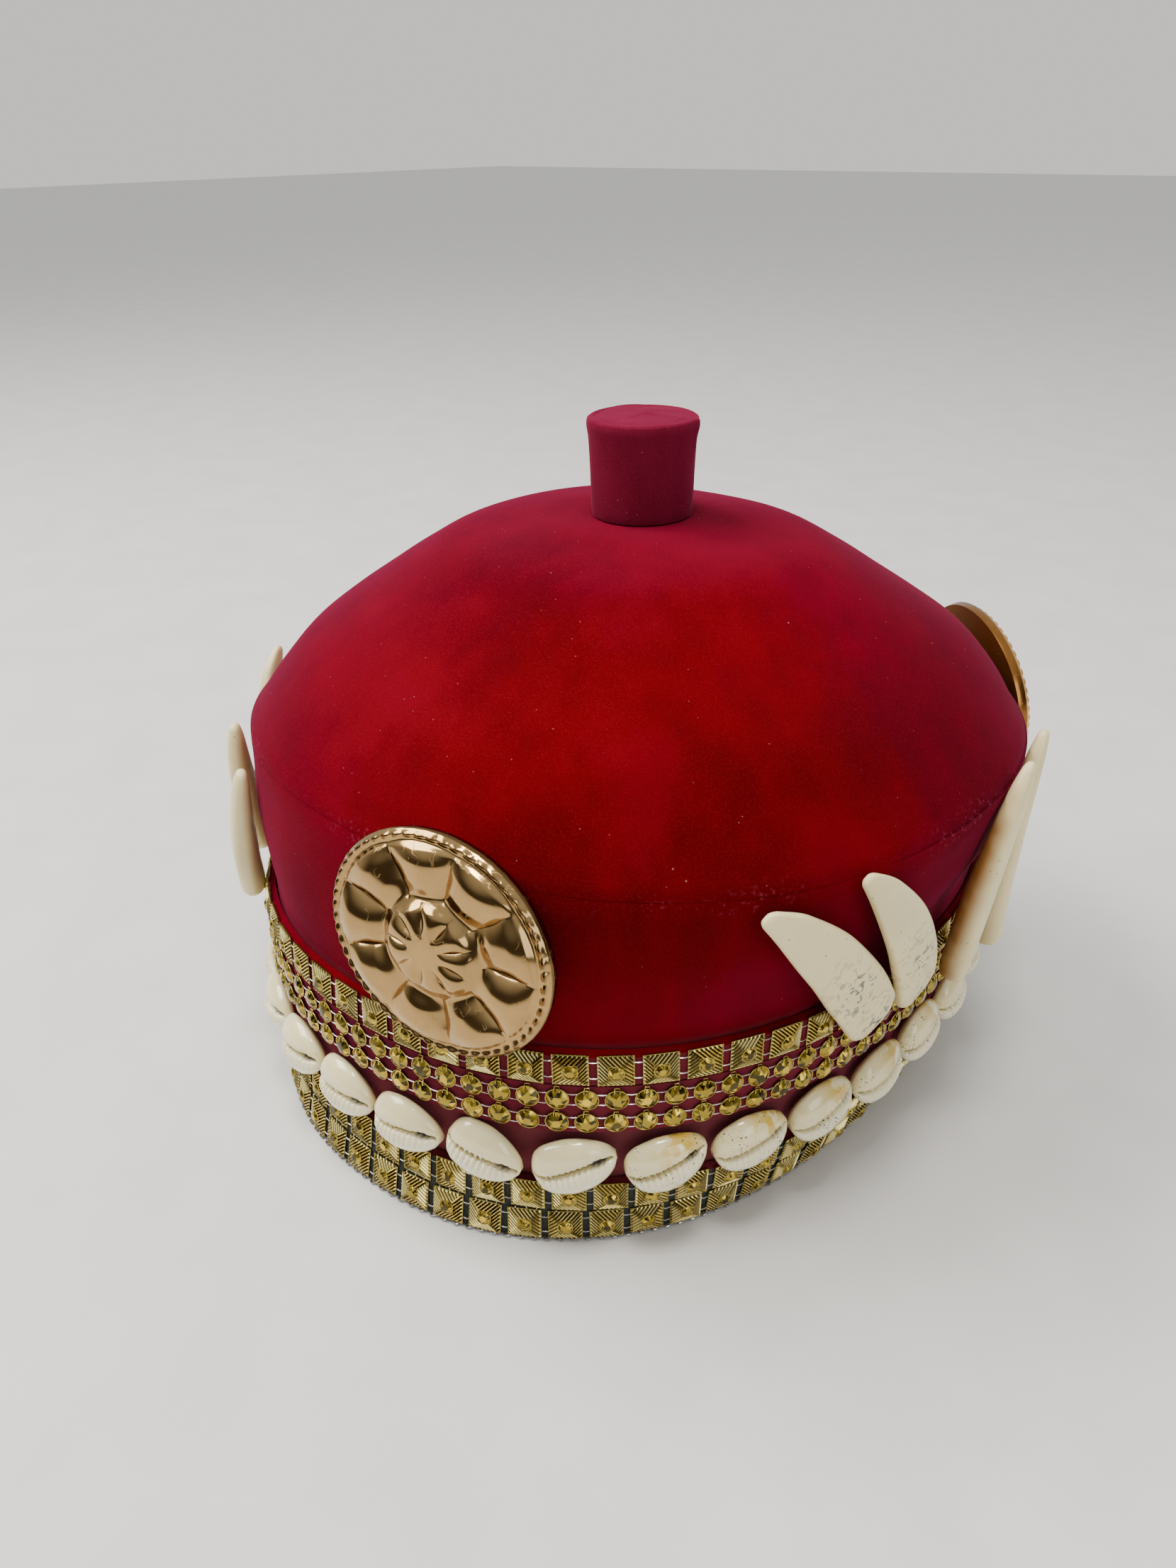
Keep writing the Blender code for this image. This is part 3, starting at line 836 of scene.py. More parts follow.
@dataclass(frozen=True)
class ShellFinish(Finish):
    """Glossy cream shell, whiter at its lips, with stains on some; its slit is darkened with painted
    shade.
    """

    name: str = "shell_clean"
    stain: float = 0.0
    body: Color = (0.93, 0.81, 0.44)
    lip: Color = (0.95, 0.87, 0.58)

    def material(self) -> bpy.types.Material:
        """Makes the material.

        Returns:
            The material, with its nodes.
        """
        made, tree, shader, place = self.start()
        parts = tree.add("ShaderNodeSeparateColor", {
            "Color": tree.add("ShaderNodeAttribute", attribute_name="shell_zones").outputs["Color"]})
        lip, slit, stain = parts.outputs[0], parts.outputs[1], parts.outputs[2]
        cloud = tree.noise(place, 120.0, 3.0)
        body = tree.blend(tree.step(cloud, 0.3, 0.7), scaled(self.body, 0.93), self.body)
        colour = tree.blend(lip, body, self.lip)
        if self.stain:
            patch = tree.times(stain, tree.step(tree.noise(place, 230.0, 4.0), 0.42, 0.52))
            colour = tree.blend(tree.times(patch, self.stain), colour, (0.70, 0.46, 0.05))
            for scale, size in ((1500.0, 0.30), (3100.0, 0.28)):
                specks = self.group(tree, Effects.speckle(), Vector=place, Scale=scale,
                                    Amount=0.30, Size=size).outputs[0]
                where = tree.step(tree.noise(place, 150.0, 2.0), 0.50, 0.62)
                mask = tree.times(tree.times(specks, where), self.stain)
                colour = tree.blend(mask, colour, (0.03, 0.03, 0.035))
        # painted shade: the slit's recess darkened to near black
        colour = tree.blend(slit, colour, (0.035, 0.018, 0.010))
        tree.feed(shader.inputs["Base Color"], colour)
        tree.feed(shader.inputs["Roughness"], tree.math("MULTIPLY_ADD", cloud, 0.14, 0.12))
        shader.inputs["Coat Weight"].default_value = 1.0
        shader.inputs["Coat Roughness"].default_value = 0.05
        shader.inputs["Subsurface Weight"].default_value = 0.12
        shader.inputs["Subsurface Radius"].default_value = (0.9, 0.6, 0.4)
        shader.inputs["Subsurface Scale"].default_value = 1.2 * MM
        self.bump(tree, shader, tree.noise(place, 700.0, 3.0), 0.04 * MM, 0.4)
        return made


@dataclass(frozen=True)
class IvoryFinish(Finish):
    """Cream resin with a faint grain along it, dark scratches and grime at its foot."""

    name: str = "ivory"
    color: Color = (0.92, 0.79, 0.42)
    scratched: float = 0.3
    stain: float = 0.0

    def material(self) -> bpy.types.Material:
        """Makes the material.

        Returns:
            The material, with its nodes.
        """
        made, tree, shader, place = self.start()
        cloud = tree.noise(place, 55.0, 4.0)
        colour = tree.blend(tree.step(cloud, 0.3, 0.72), scaled(self.color, 0.86), self.color)
        if self.scratched:
            zone = tree.add("ShaderNodeAttribute", attribute_name="scratched").outputs["Fac"]
            zone = tree.times(zone, self.scratched)
            for scale, width in ((180.0, 0.030), (320.0, 0.040)):
                marks = self.group(tree, Effects.scratches(), Vector=place, Scale=scale,
                                   Width=width).outputs[0]
                colour = tree.blend(tree.times(marks, zone), colour, (0.05, 0.05, 0.06))
        pits = self.group(tree, Effects.speckle(), Vector=place, Scale=700.0, Amount=0.05,
                          Size=0.2).outputs[0]
        colour = tree.blend(tree.times(pits, 0.5), colour, (0.10, 0.08, 0.06))
        if self.stain:
            zone = tree.add("ShaderNodeAttribute", attribute_name="soiled").outputs["Fac"]
            patch = tree.times(zone, tree.step(tree.noise(place, 90.0, 2.0), 0.05, 0.60))
            colour = tree.blend(tree.times(patch, self.stain), colour, (0.30, 0.125, 0.025))
        tree.feed(shader.inputs["Base Color"], colour)
        tree.feed(shader.inputs["Roughness"], tree.math("MULTIPLY_ADD", cloud, 0.25, 0.30))
        shader.inputs["Coat Weight"].default_value = 0.25
        shader.inputs["Coat Roughness"].default_value = 0.25
        shader.inputs["Subsurface Weight"].default_value = 0.10
        shader.inputs["Subsurface Scale"].default_value = 1.5 * MM
        self.bump(tree, shader, tree.noise(place, 380.0, 4.0), 0.08 * MM, 0.5)
        return made


@dataclass(frozen=True)
class CastFinish(Finish):
    """Polished cast metal with soft waves in the polish, fine scratches and darker hollows."""

    name: str
    color: Color
    roughness: float = 0.09

    def material(self) -> bpy.types.Material:
        """Makes the material.

        Returns:
            The material, with its nodes.
        """
        made, tree, shader, place = self.start()
        wear = self.group(tree, Effects.wear(), Vector=place, Scale=250.0)
        cloud = tree.noise(place, 90.0, 3.0)
        colour = tree.blend(tree.step(cloud, 0.3, 0.7), scaled(self.color, 0.82), self.color)
        colour = tree.blend(tree.times(wear.outputs["Hollow"], 0.8), colour,
                            (self.color[0] * 0.22, self.color[1] * 0.15, self.color[2] * 0.08))
        marks = self.group(tree, Effects.scratches(), Vector=place, Scale=160.0, Width=0.01).outputs[0]
        tree.feed(shader.inputs["Base Color"], colour)
        shader.inputs["Metallic"].default_value = 1.0
        rough = tree.math("MULTIPLY_ADD", cloud, 0.10, self.roughness - 0.03)
        tree.feed(shader.inputs["Roughness"], tree.math("MULTIPLY_ADD", marks, 0.25, rough))
        self.bump(tree, shader, cloud, 0.12 * MM, 0.35)
        return made


class Piece:
    """What the hat's pieces share: each rides on the hat and stands for CAD solids."""

    def __init__(self, form: HatForm) -> None:
        """Keeps the hat's main surface, which all the pieces are laid on."""
        self.form = form

    def join(self, obj: bpy.types.Object, slot: str, *nodes: str) -> bpy.types.Object:
        """Joins a finished object to the frame.

        Args:
            obj: The object, in place.
            slot: Not used.
            *nodes: The CAD solids that it stands for.

        Returns:
            The same object.
        """
        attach(obj, "root")
        if nodes:
            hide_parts(*nodes)
        LOG.info("%s has %d faces", obj.name, len(obj.data.polygons))
        return obj


@dataclass(frozen=True)
class CrownSizes:
    """How the velvet's cloth lies: the fold and crease at the seam, and how loose it is."""

    columns: int = 384
    wall_rows: int = 72
    dome_rows: int = 92
    shoulder: float = 0.8 * MM
    shoulder_reach: float = 6.0 * MM
    crease: float = 0.05 * MM
    crease_reach: float = 0.8 * MM
    seam: float = 0.27 * MM
    softness: float = 4.5 * MM
    looseness: float = 1.1 * MM
    trims_top: float = 59.0 * MM
    loose_over: float = 8.0 * MM
    top_slant: float = 110.0 * MM


class VelvetCrown(Piece):
    """The velvet wall and the tent-like top, with a rounded fold where they meet."""

    sizes = CrownSizes()

    def shell(self, name: str, outer: np.ndarray, inner: np.ndarray, closed_top: bool,
              finish: VelvetFinish) -> bpy.types.Object:
        """Makes a cloth shell.

        Args:
            name: The object's name.
            outer: Its outer grid of points, bottom row first.
            inner: Its inner grid of points, bottom row first.
            closed_top: Whether the last rows meet in the middle, with no edge of cloth there.
            finish: Its velvet.

        Returns:
            The object.
        """
        rows, columns = outer.shape[:2]
        parts = MeshParts()
        if closed_top:
            parts.add(outer.reshape(-1, 3), grid_faces(rows, columns))
            parts.add(inner[::-1].reshape(-1, 3), grid_faces(rows, columns))
            last = columns * (2 * rows - 1)
            parts.faces.extend((i, last + i, last + (i + 1) % columns, (i + 1) % columns)
                               for i in range(columns))
            parts.slots.extend([0] * columns)
        else:
            parts.add(np.concatenate([outer, inner[::-1]]).reshape(-1, 3),
                      looped_faces(2 * rows, columns))
        return parts.build(name, [finish.material()], 60)

    def seam_normals(self) -> np.ndarray:
        """The ways that the velvet faces along the seam, half way between wall and top.

        Returns:
            A unit way for each column.
        """
        sizes, form = self.sizes, self.form
        turn = np.linspace(0, 360, sizes.columns, endpoint=False)
        low = form.wall_points(turn, form.wall_height - sizes.shoulder_reach)
        high = form.wall_points(turn, form.wall_height)
        inner = form.dome_points(turn, np.full(turn.shape, 0.06), 0.0)
        round_about = np.roll(high, -1, axis=0) - np.roll(high, 1, axis=0)
        wall = np.cross(round_about, high - low)
        top = np.cross(round_about, inner - high)
        wall /= np.linalg.norm(wall, axis=1, keepdims=True)
        top /= np.linalg.norm(top, axis=1, keepdims=True)
        both = wall + top
        return both / np.linalg.norm(both, axis=1, keepdims=True)

    def soften(self, obj: bpy.types.Object, away: np.ndarray) -> None:
        """Turns the normals near the seam towards the shared ones.

        Args:
            obj: A cloth shell whose first vertices are its outer grid.
            away: Each outer point's distance from the seam, by row and column.
        """
        mesh = obj.data
        normals = np.empty(len(mesh.vertices) * 3, dtype=np.float32)
        mesh.vertices.foreach_get("normal", normals)
        normals = normals.reshape(-1, 3)
        share = np.exp(-(away / self.sizes.softness) ** 2)[..., None]
        rows, columns = away.shape
        outer = normals[:rows * columns].reshape(rows, columns, 3)
        mixed = outer * (1 - share) + self.seam_normals()[None] * share
        normals[:rows * columns] = mixed.reshape(-1, 3)
        mesh.normals_split_custom_set_from_vertices(normals.tolist())

    def side(self, finish: VelvetFinish) -> bpy.types.Object:
        """Builds and joins the wall.

        Args:
            finish: Its velvet.

        Returns:
            The wall.
        """
        sizes, form = self.sizes, self.form
        turn = np.linspace(0, 360, sizes.columns, endpoint=False)[None, :]
        height = ((form.wall_height + sizes.seam) * np.linspace(0, 1, sizes.wall_rows))[:, None]
        loose = np.clip((height - sizes.trims_top) / sizes.loose_over, 0, 1)
        out = sizes.looseness * loose * gentle_noise(turn, height / form.wall_height, 4)
        below = np.maximum(form.wall_height - height, 0)
        out = out + sizes.shoulder * np.exp(-(below / sizes.shoulder_reach) ** 2)
        out = out - sizes.crease * np.exp(-(below / sizes.crease_reach) ** 2)
        outer = form.wall_points(turn, height, out)
        inner = form.wall_points(turn, height, -form.cloth)
        obj = self.shell("velvet_side", outer, inner, False, finish)
        self.soften(obj, np.broadcast_to(below, outer.shape[:2]))
        return self.join(obj, "velvet", "crown_side")

    def top(self, finish: VelvetFinish) -> bpy.types.Object:
        """Builds and joins the top.

        Args:
            finish: Its velvet.

        Returns:
            The top.
        """
        sizes, form = self.sizes, self.form
        turn = np.linspace(0, 360, sizes.columns, endpoint=False)[None, :]
        along = (np.linspace(0, 1, sizes.dome_rows) ** 1.25 * 0.996)[:, None]
        turn, along = np.broadcast_arrays(turn, along)
        loose = np.clip(along / 0.12, 0, 1) * np.clip((0.93 - along) / 0.15, 0, 1)
        thin = -sizes.looseness * loose * gentle_noise(turn, along, 17, 9)
        start = along * sizes.top_slant
        thin = thin - sizes.shoulder * np.exp(-(start / sizes.shoulder_reach) ** 2)
        thin = thin + sizes.crease * np.exp(-(start / sizes.crease_reach) ** 2)
        outer = form.dome_points(turn, along, thin)
        inner = form.dome_points(turn, along, np.full(turn.shape, form.cloth))
        outer[..., 2] = np.maximum(outer[..., 2], form.wall_height)
        inner[..., 2] = np.maximum(inner[..., 2], form.wall_height)
        obj = self.shell("velvet_top", outer, inner, True, finish)
        self.soften(obj, start)
        return self.join(obj, "velvet", "crown_top")


@dataclass(frozen=True)
class StemSizes:
    """The padded stem on top."""

    width: float = 27.4 * MM
    depth: float = 28.0 * MM
    height: float = 24.0 * MM
    foot: float = 148.3 * MM
    shift: tuple[float, float] = (1.7 * MM, 1.5 * MM)
    corner: float = 22.0
    columns: int = 160
    fill: float = 0.9
    rows: Sequence[tuple[float, float]] = (
        (0.00, 0.915), (0.05, 0.930), (0.50, 0.950), (0.80, 0.975), (0.93, 1.005),
        (0.98, 0.995), (1.00, 0.950))


class VelvetStem(Piece):
    """The velvet-covered stem, with an edge fold round its lid and one pinched corner."""

    sizes = StemSizes()

    def build(self, finish: VelvetFinish) -> bpy.types.Object:
        """Builds and joins the stem.

        Args:
            finish: Its velvet.

        Returns:
            The stem.
        """
        sizes = self.sizes
        columns = sizes.columns
        angle = np.linspace(0, 360, columns, endpoint=False)
        away = (angle - sizes.corner + 180) % 360 - 180
        pinch = np.exp(-(away / 7) ** 2)
        rings = []
        places = np.concatenate([np.linspace(0, 0.9, 26), np.linspace(0.91, 1, 12)])
        sizes_at = smooth_through([r[0] for r in sizes.rows], [r[1] for r in sizes.rows], places)
        for share, size in zip(places, sizes_at):
            creases = 0.012 * gentle_noise(angle * 2, np.full(columns, share * 0.2), 31, 9)
            radius = size * (1 + creases + 0.055 * pinch * max(share - 0.6, 0) / 0.4)
            rings.append(self.ring(angle, radius, share * sizes.height))
        for share in (0.92, 0.88, 0.80, 0.66, 0.50, 0.34, 0.18, 0.05):
            dip = 0.35 * MM * (1 - share) + 0.30 * MM * gentle_noise(
                angle, np.full(columns, share), 12) - 0.25 * MM * float(share == 0.88)
            rings.append(self.ring(angle, share * (1 + 0.04 * pinch), sizes.height + dip))
        parts = MeshParts()
        parts.add(np.concatenate(rings), capped_faces(len(rings), columns))
        obj = self.join(parts.build("velvet_stem", [finish.material()], 70), "velvet", "crown_stem")
        return obj

    def ring(self, angle: np.ndarray, size: np.ndarray, height: Numbers) -> np.ndarray:
        """A ring of the stem.

        Args:
            angle: Angles round it, in degrees.
            size: Shares of its full size at each angle.
            height: Height above its foot.

        Returns:
            The ring's points.
        """
        sizes = self.sizes
        x = sizes.shift[0] + sizes.width / 2 * size * np.cos(np.radians(angle))
        y = sizes.shift[1] + sizes.depth / 2 * size * np.sin(np.radians(angle))
        return np.stack([x, y, sizes.foot + height + 0 * x], -1)


@dataclass(frozen=True)
class StoneCut:
    """A round brilliant crown: a table, and a star, a kite and two girdle facets to a side."""

    sides: int = 8
    table: float = 0.50
    star: float = 0.78
    star_height: float = 0.60

    def points(self, radius: float, height: float) -> tuple[np.ndarray, Faces]:
        """The stone's points and facets.

        Args:
            radius: The girdle's radius.
            height: The table's height over the girdle.

        Returns:
            Its points and faces, with its girdle at height 0.
        """
        n = self.sides
        girdle = np.arange(2 * n) * math.pi / n
        middle = (np.arange(n) + 0.5) * math.tau / n
        table = np.arange(n) * math.tau / n
        rings = [(girdle, 1.0, 0.0), (middle, self.star, self.star_height), (table, self.table, 1.0)]
        points = np.concatenate([
            np.stack([radius * r * np.cos(a), radius * r * np.sin(a), 0 * a + height * h], -1)
            for a, r, h in rings])
        star, flat = 2 * n, 3 * n
        faces = [tuple(range(flat, flat + n))]
        for i in range(n):
            j = (i + 1) % n
            faces.append((flat + i, star + i, flat + j))
            faces.append((flat + j, star + i, 2 * j, star + j))
            faces.append((2 * i, 2 * i + 1, star + i))
            faces.append((2 * i + 1, (2 * i + 2) % (2 * n), star + i))
        return points, faces


class Trim(Piece):
    """What the metal trims share: the strip behind them and how far it stands out."""

    columns = 252
    face_out = 2.0 * MM
    back_out = 0.4 * MM

    def strip(self, parts: MeshParts, rows: Sequence[tuple[float, float]]) -> None:
        """Adds the strip behind a trim.

        Args:
            parts: The trim so far.
            rows: Height above the rim and distance out of the velvet of each of its edges.
        """
        turn = np.linspace(0, 360, self.columns, endpoint=False)
        rings = [self.form.wall_points(turn, height, out) for height, out in rows]
        parts.add(np.concatenate(rings), looped_faces(len(rings), self.columns), 3)


@dataclass(frozen=True)
class BandPlace:
    """Where a band of squares goes and which way it is made."""

    name: str
    node: str
    foot: float
    rows: int
    beads: bool


BANDS = (
    BandPlace("lower_squares", "lower_trim", 0.6 * MM, 2, True),
    BandPlace("upper_squares", "square_trim", 48.9 * MM, 1, False),
)


@dataclass(frozen=True)
class SquareSizes:
    """A stamped square of the trims and how the squares stand."""

    count: int = 63
    width: float = 8.2 * MM
    height: float = 8.7 * MM
    row_gap: float = 0.45 * MM
    table: float = 0.42
    edge: float = 0.45 * MM
    rise: float = 1.35 * MM
    cells: int = 16
    ridge: float = 0.24 * MM
    stone: float = 1.66 * MM
    ring: float = 0.15 * MM
    crown: float = 0.62 * MM
    stone_seat: float = 0.08 * MM
    wire: float = 0.14 * MM
    wire_lap: float = 0.35 * MM
    dot: float = 0.2 * MM
    bead: float = 0.34 * MM
    ledge: float = 1.2 * MM


class SquareTrim(Trim):
    """A band of stamped metal squares with a stone in each, linked by short wires."""

    sizes = SquareSizes()
    cut = StoneCut()

    def stamp(self, ways: Sequence[Side]) -> tuple[np.ndarray, Faces, np.ndarray]:
        """One square: four ridged walls that rise to a plate.

        Args:
            ways: Which way the right, top, left and bottom walls are ridged.

        Returns:
            Its points, faces and marks (1 on a ridge, 0 between), with its middle at the origin.
        """
        sizes, n = self.sizes, self.sizes.cells
        tall = sizes.height - sizes.row_gap
        low = round(n * (1 - sizes.table) / 2)
        index = np.arange(n + 1)
        i, j = np.meshgrid(index, index, indexing="ij")
        u, v = 2 * i / n - 1, 2 * j / n - 1
        reach = np.maximum(np.abs(u), np.abs(v))
        z = sizes.edge + (sizes.rise - sizes.edge) * np.clip((1 - reach) / (1 - sizes.table), 0, 1)
        corner = (i == j) | (i + j == n)
        high = np.where(reach > 0.99, 0.0, np.where(corner, 0.5, np.where((i + j) % 2 == 0, 1.0, -1.0)))
        z = z + high * sizes.ridge
        points = np.stack([u * sizes.width / 2, v * tall / 2, z], -1).reshape(-1, 3)
        faces = []
        for a in range(n):
            for b in range(n):
                if low <= a < n - low and low <= b < n - low:
                    continue
                p, q, r, s = (a * (n + 1) + b, (a + 1) * (n + 1) + b,
                              (a + 1) * (n + 1) + b + 1, a * (n + 1) + b + 1)
                across, above = a - (n - 1) / 2, b - (n - 1) / 2
                if abs(across) >= abs(above):
                    way = ways[0] if across > 0 else ways[2]
                else:
                    way = ways[1] if above > 0 else ways[3]
                if way is Side.RISING:
                    faces += [(p, q, r), (p, r, s)]
                else:
                    faces += [(p, q, s), (q, r, s)]
        edge = ([(k, 0) for k in range(n)] + [(n, k) for k in range(n)]
                + [(k, n) for k in range(n, 0, -1)] + [(0, k) for k in range(n, 0, -1)])
        rim = [a * (n + 1) + b for a, b in edge]
        feet = points[rim] * (0.985, 0.985, 0)
        start = len(points)
        faces += [(rim[k], start + k, start + (k + 1) % len(rim), rim[(k + 1) % len(rim)])
                  for k in range(len(rim))]
        plate = sizes.rise - 0.12 * MM
        half = sizes.table * 1.04
        flat = [(x * half * sizes.width / 2, y * half * tall / 2, plate)
                for x, y in ((-1, -1), (1, -1), (1, 1), (-1, 1))]
        points = np.concatenate([points, feet, np.array(flat)])
        end = len(points) - 4
        faces.append((end, end + 1, end + 2, end + 3))
        marks = np.concatenate([0.5 + 0.5 * high.ravel(), np.full(len(feet) + 4, 0.4)])
        return points, faces, marks

    def build(self, band: BandPlace, materials: Sequence[bpy.types.Material]) -> bpy.types.Object:
        """Builds and joins a band.

        Args:
            band: Which band it is.
            materials: The squares' metal, stones, wire, backing, the backing's ledge and the rims.

        Returns:
            The band.
        """
        sizes, form, chance = self.sizes, self.form, random.Random(band.node)
        parts, stamps, both = MeshParts(), {}, list(Side)
        gap = form.girth(band.foot + band.rows * sizes.height / 2) / sizes.count - sizes.width
        for row in range(band.rows):
            height = band.foot + (row + 0.5) * sizes.height
            turns = form.even_turns(sizes.count, height)
            for k, turn in enumerate(turns):
                ways = (chance.choice(both), Side.RISING if k % 2 else Side.FALLING,
                        chance.choice(both), chance.choice(both))
                if ways not in stamps:
                    stamps[ways] = self.stamp(ways)
                place = form.place(turn, height, self.face_out, chance.uniform(-1.2, 1.2),
                                   chance.uniform(-1.5, 1.5))
                points, faces, marks = stamps[ways]
                parts.add(points, faces, 0, place, marks)
                self.stone(parts, place, chance)
                middle = turn + ((turns[(k + 1) % len(turns)] - turn) % 360) / 2
                self.wires(parts, form.place(middle, height, self.face_out), gap, row)
        self.backing(parts, band.foot, band.rows * sizes.height)
        if band.beads:
            self.beads(parts)
        obj = parts.build(band.name, materials, 12)
        # ridge marks: the gold uses them to paint shade into the valleys and a highlight on the ridges
        give_marks(obj, "ridged", np.concatenate(parts.marks))
        return self.join(obj, "gold", band.node)

    def stone(self, parts: MeshParts, place: Matrix, chance: random.Random) -> None:
        """Adds the stone on a square's plate, in a smooth ring.

        Args:
            parts: The band so far.
            place: The square's frame.
            chance: Gives the stone's turn and tip.
        """
        sizes = self.sizes
        angle = np.linspace(0, math.tau, 24, endpoint=False)
        reach = sizes.stone + 0.6 * sizes.ring
        path = np.stack([reach * np.cos(angle), reach * np.sin(angle),
                         0 * angle + sizes.rise + 0.05 * MM], -1)
        parts.add(*tube(path, sizes.ring, 8, closed=True), 5, place)
        seat = place @ Matrix.Translation((0, 0, sizes.rise + sizes.stone_seat))
        seat = seat @ Matrix.Rotation(chance.uniform(0, math.tau), 4, "Z")
        seat = seat @ Matrix.Rotation(chance.uniform(-0.07, 0.07), 4, "X")
        parts.add(*self.cut.points(sizes.stone, sizes.crown), 1, seat)

    def wires(self, parts: MeshParts, place: Matrix, gap: float, row: int) -> None:
        """Adds the two short wires across a gap, and the dots between two rows.

        Args:
            parts: The band so far.
            place: A frame in the middle of the gap.
            gap: How wide the gap is.
            row: Which row it is in, from 0 at the bottom.
        """
        sizes = self.sizes
        reach = gap / 2 + sizes.wire_lap
        for share in (-0.25, 0.25):
            x = np.linspace(-reach, reach, 5)
            path = np.stack([x, 0 * x + share * sizes.height,
                             0.55 * MM - 0.25 * MM * (x / reach) ** 2], -1)
            parts.add(*tube(path, sizes.wire, 6), 2, place)
        if row:
            for share in (-0.95, -0.3, 0.3):
                x = sizes.width / 2 * share - sizes.width / 2
                y = np.linspace(-0.30, 0.30, 3) * MM - sizes.height / 2
                path = np.stack([0 * y + x, y, 0 * y + 0.30 * MM], -1)
                parts.add(*tube(path, sizes.dot, 6), 2, place)

    def backing(self, parts: MeshParts, foot: float, height: float) -> None:
        """Adds the strip behind the squares, whose slanted upper ledge is slot 4.

        Args:
            parts: The band so far.
            foot: Height of its lower edge.
            height: How tall it is.
        """
        out = self.face_out
        self.strip(parts, (
            (foot, self.back_out), (foot, out), (foot + height / 3, out), (foot + height / 1.5, out),
            (foot + height - self.sizes.ledge, out), (foot + height, self.back_out)))
        parts.slots[-2 * self.columns:-self.columns] = [4] * self.columns

    def beads(self, parts: MeshParts) -> None:
        """Adds the bead-like wire ends along the lower edge.

        Args:
            parts: The band so far.
        """
        sizes = self.sizes
        for turn in self.form.even_turns(sizes.count * 3, 0.8 * MM, 1.0):
            place = self.form.place(turn, 0.62 * MM, self.face_out + 0.5 * MM)
            path = np.array([(-0.55, 0, 0), (-0.3, 0, 0.25), (0.3, 0, 0.25), (0.55, 0, 0)]) * MM
            parts.add(*tube(path, sizes.bead, 7), 2, place)


@dataclass(frozen=True)
class RoundStoneSizes:
    """The round stones in their cups, and how they stand."""

    columns: int = 95
    rows: int = 2
    foot: float = 35.2 * MM
    pitch: float = 6.6 * MM
    stone: float = 2.56 * MM
    crown: float = 0.95 * MM
    rim: float = 0.14 * MM
    cup: float = 0.55 * MM
    cup_sides: int = 28
    wire: float = 0.125 * MM
    wire_off: float = 1.4 * MM
    wire_lap: float = 0.2 * MM
    hook: float = 0.14 * MM


class StoneTrim(Trim):
    """Two rows of round stones in gold cups, held by hooks and linked by wires."""

    sizes = RoundStoneSizes()
    cut = StoneCut(sides=6, table=0.42, star=0.78, star_height=0.68)

    def build(self, materials: Sequence[bpy.types.Material]) -> bpy.types.Object:
        """Builds and joins the rows.

        Args:
            materials: The cups' metal, the stones, the wire and the backing.

        Returns:
            The rows.
        """
        sizes, form, chance = self.sizes, self.form, random.Random("stones")
        parts = MeshParts()
        stone = self.cut.points(sizes.stone, sizes.crown)
        for row in range(sizes.rows):
            height = sizes.foot + (row + 0.5) * sizes.pitch
            turns = form.even_turns(sizes.columns, height, 1.3)
            step = form.girth(height) / sizes.columns
            for turn in turns:
                place = form.place(turn, height, self.face_out, 0, chance.uniform(-3, 3))
                self.cup(parts, place)
                seat = place @ Matrix.Translation((0, 0, sizes.cup))
                seat = seat @ Matrix.Rotation(chance.uniform(0, math.tau), 4, "Z")
                seat = seat @ Matrix.Rotation(chance.uniform(-0.06, 0.06), 4, "X")
                parts.add(*stone, 1, seat)
                self.links(parts, place, step)
        top = sizes.foot + sizes.rows * sizes.pitch
        self.strip(parts, ((sizes.foot, self.back_out), (sizes.foot, self.face_out),
                           (top, self.face_out), (top, self.back_out)))
        return self.join(parts.build("round_stones", materials, 20), "gold", "stone_trim")

    def cup(self, parts: MeshParts, place: Matrix) -> None:
        """Adds a cup's wall and its rolled rim.

        Args:
            parts: The rows so far.
            place: The cup's frame.
        """
        sizes = self.sizes
        angle = np.linspace(0, math.tau, sizes.cup_sides, endpoint=False)
        radius = sizes.stone + 0.5 * sizes.rim
        rows = [np.stack([r * np.cos(angle), r * np.sin(angle), 0 * angle + z], -1)
                for r, z in ((radius * 0.93, 0), (radius, sizes.cup))]
        parts.add(np.concatenate(rows), grid_faces(2, sizes.cup_sides), 0, place)
        parts.add(*tube(rows[1], sizes.rim, 7, closed=True), 0, place)

    def links(self, parts: MeshParts, place: Matrix, step: float) -> None:
        """Adds the wires to the next stone and the hook to the row above.

        Args:
            parts: The rows so far.
            place: The stone's frame.
            step: How far away the next stone is.
        """
        sizes = self.sizes
        reach = math.sqrt(sizes.stone ** 2 - sizes.wire_off ** 2) - sizes.wire_lap
        x = np.linspace(reach, step - reach, 4)
        for side in (-sizes.wire_off, sizes.wire_off):
            path = np.stack([x, 0 * x + side, np.array([0.3, 0.5, 0.5, 0.3]) * MM], -1)
            parts.add(*tube(path, sizes.wire, 6), 2, place)
        half, top = 0.62 * MM, sizes.pitch / 2 + 0.15 * MM
        foot = sizes.stone - 0.45 * MM
        path = np.array([(-half, foot, 1.05 * MM), (-half, foot + 0.75 * MM, 1.0 * MM),
                         (-half * 0.8, top, 0.6 * MM), (half * 0.8, top, 0.6 * MM),
                         (half, foot + 0.75 * MM, 1.0 * MM), (half, foot, 1.05 * MM)])
        parts.add(*tube(path, sizes.hook, 6), 0, place)


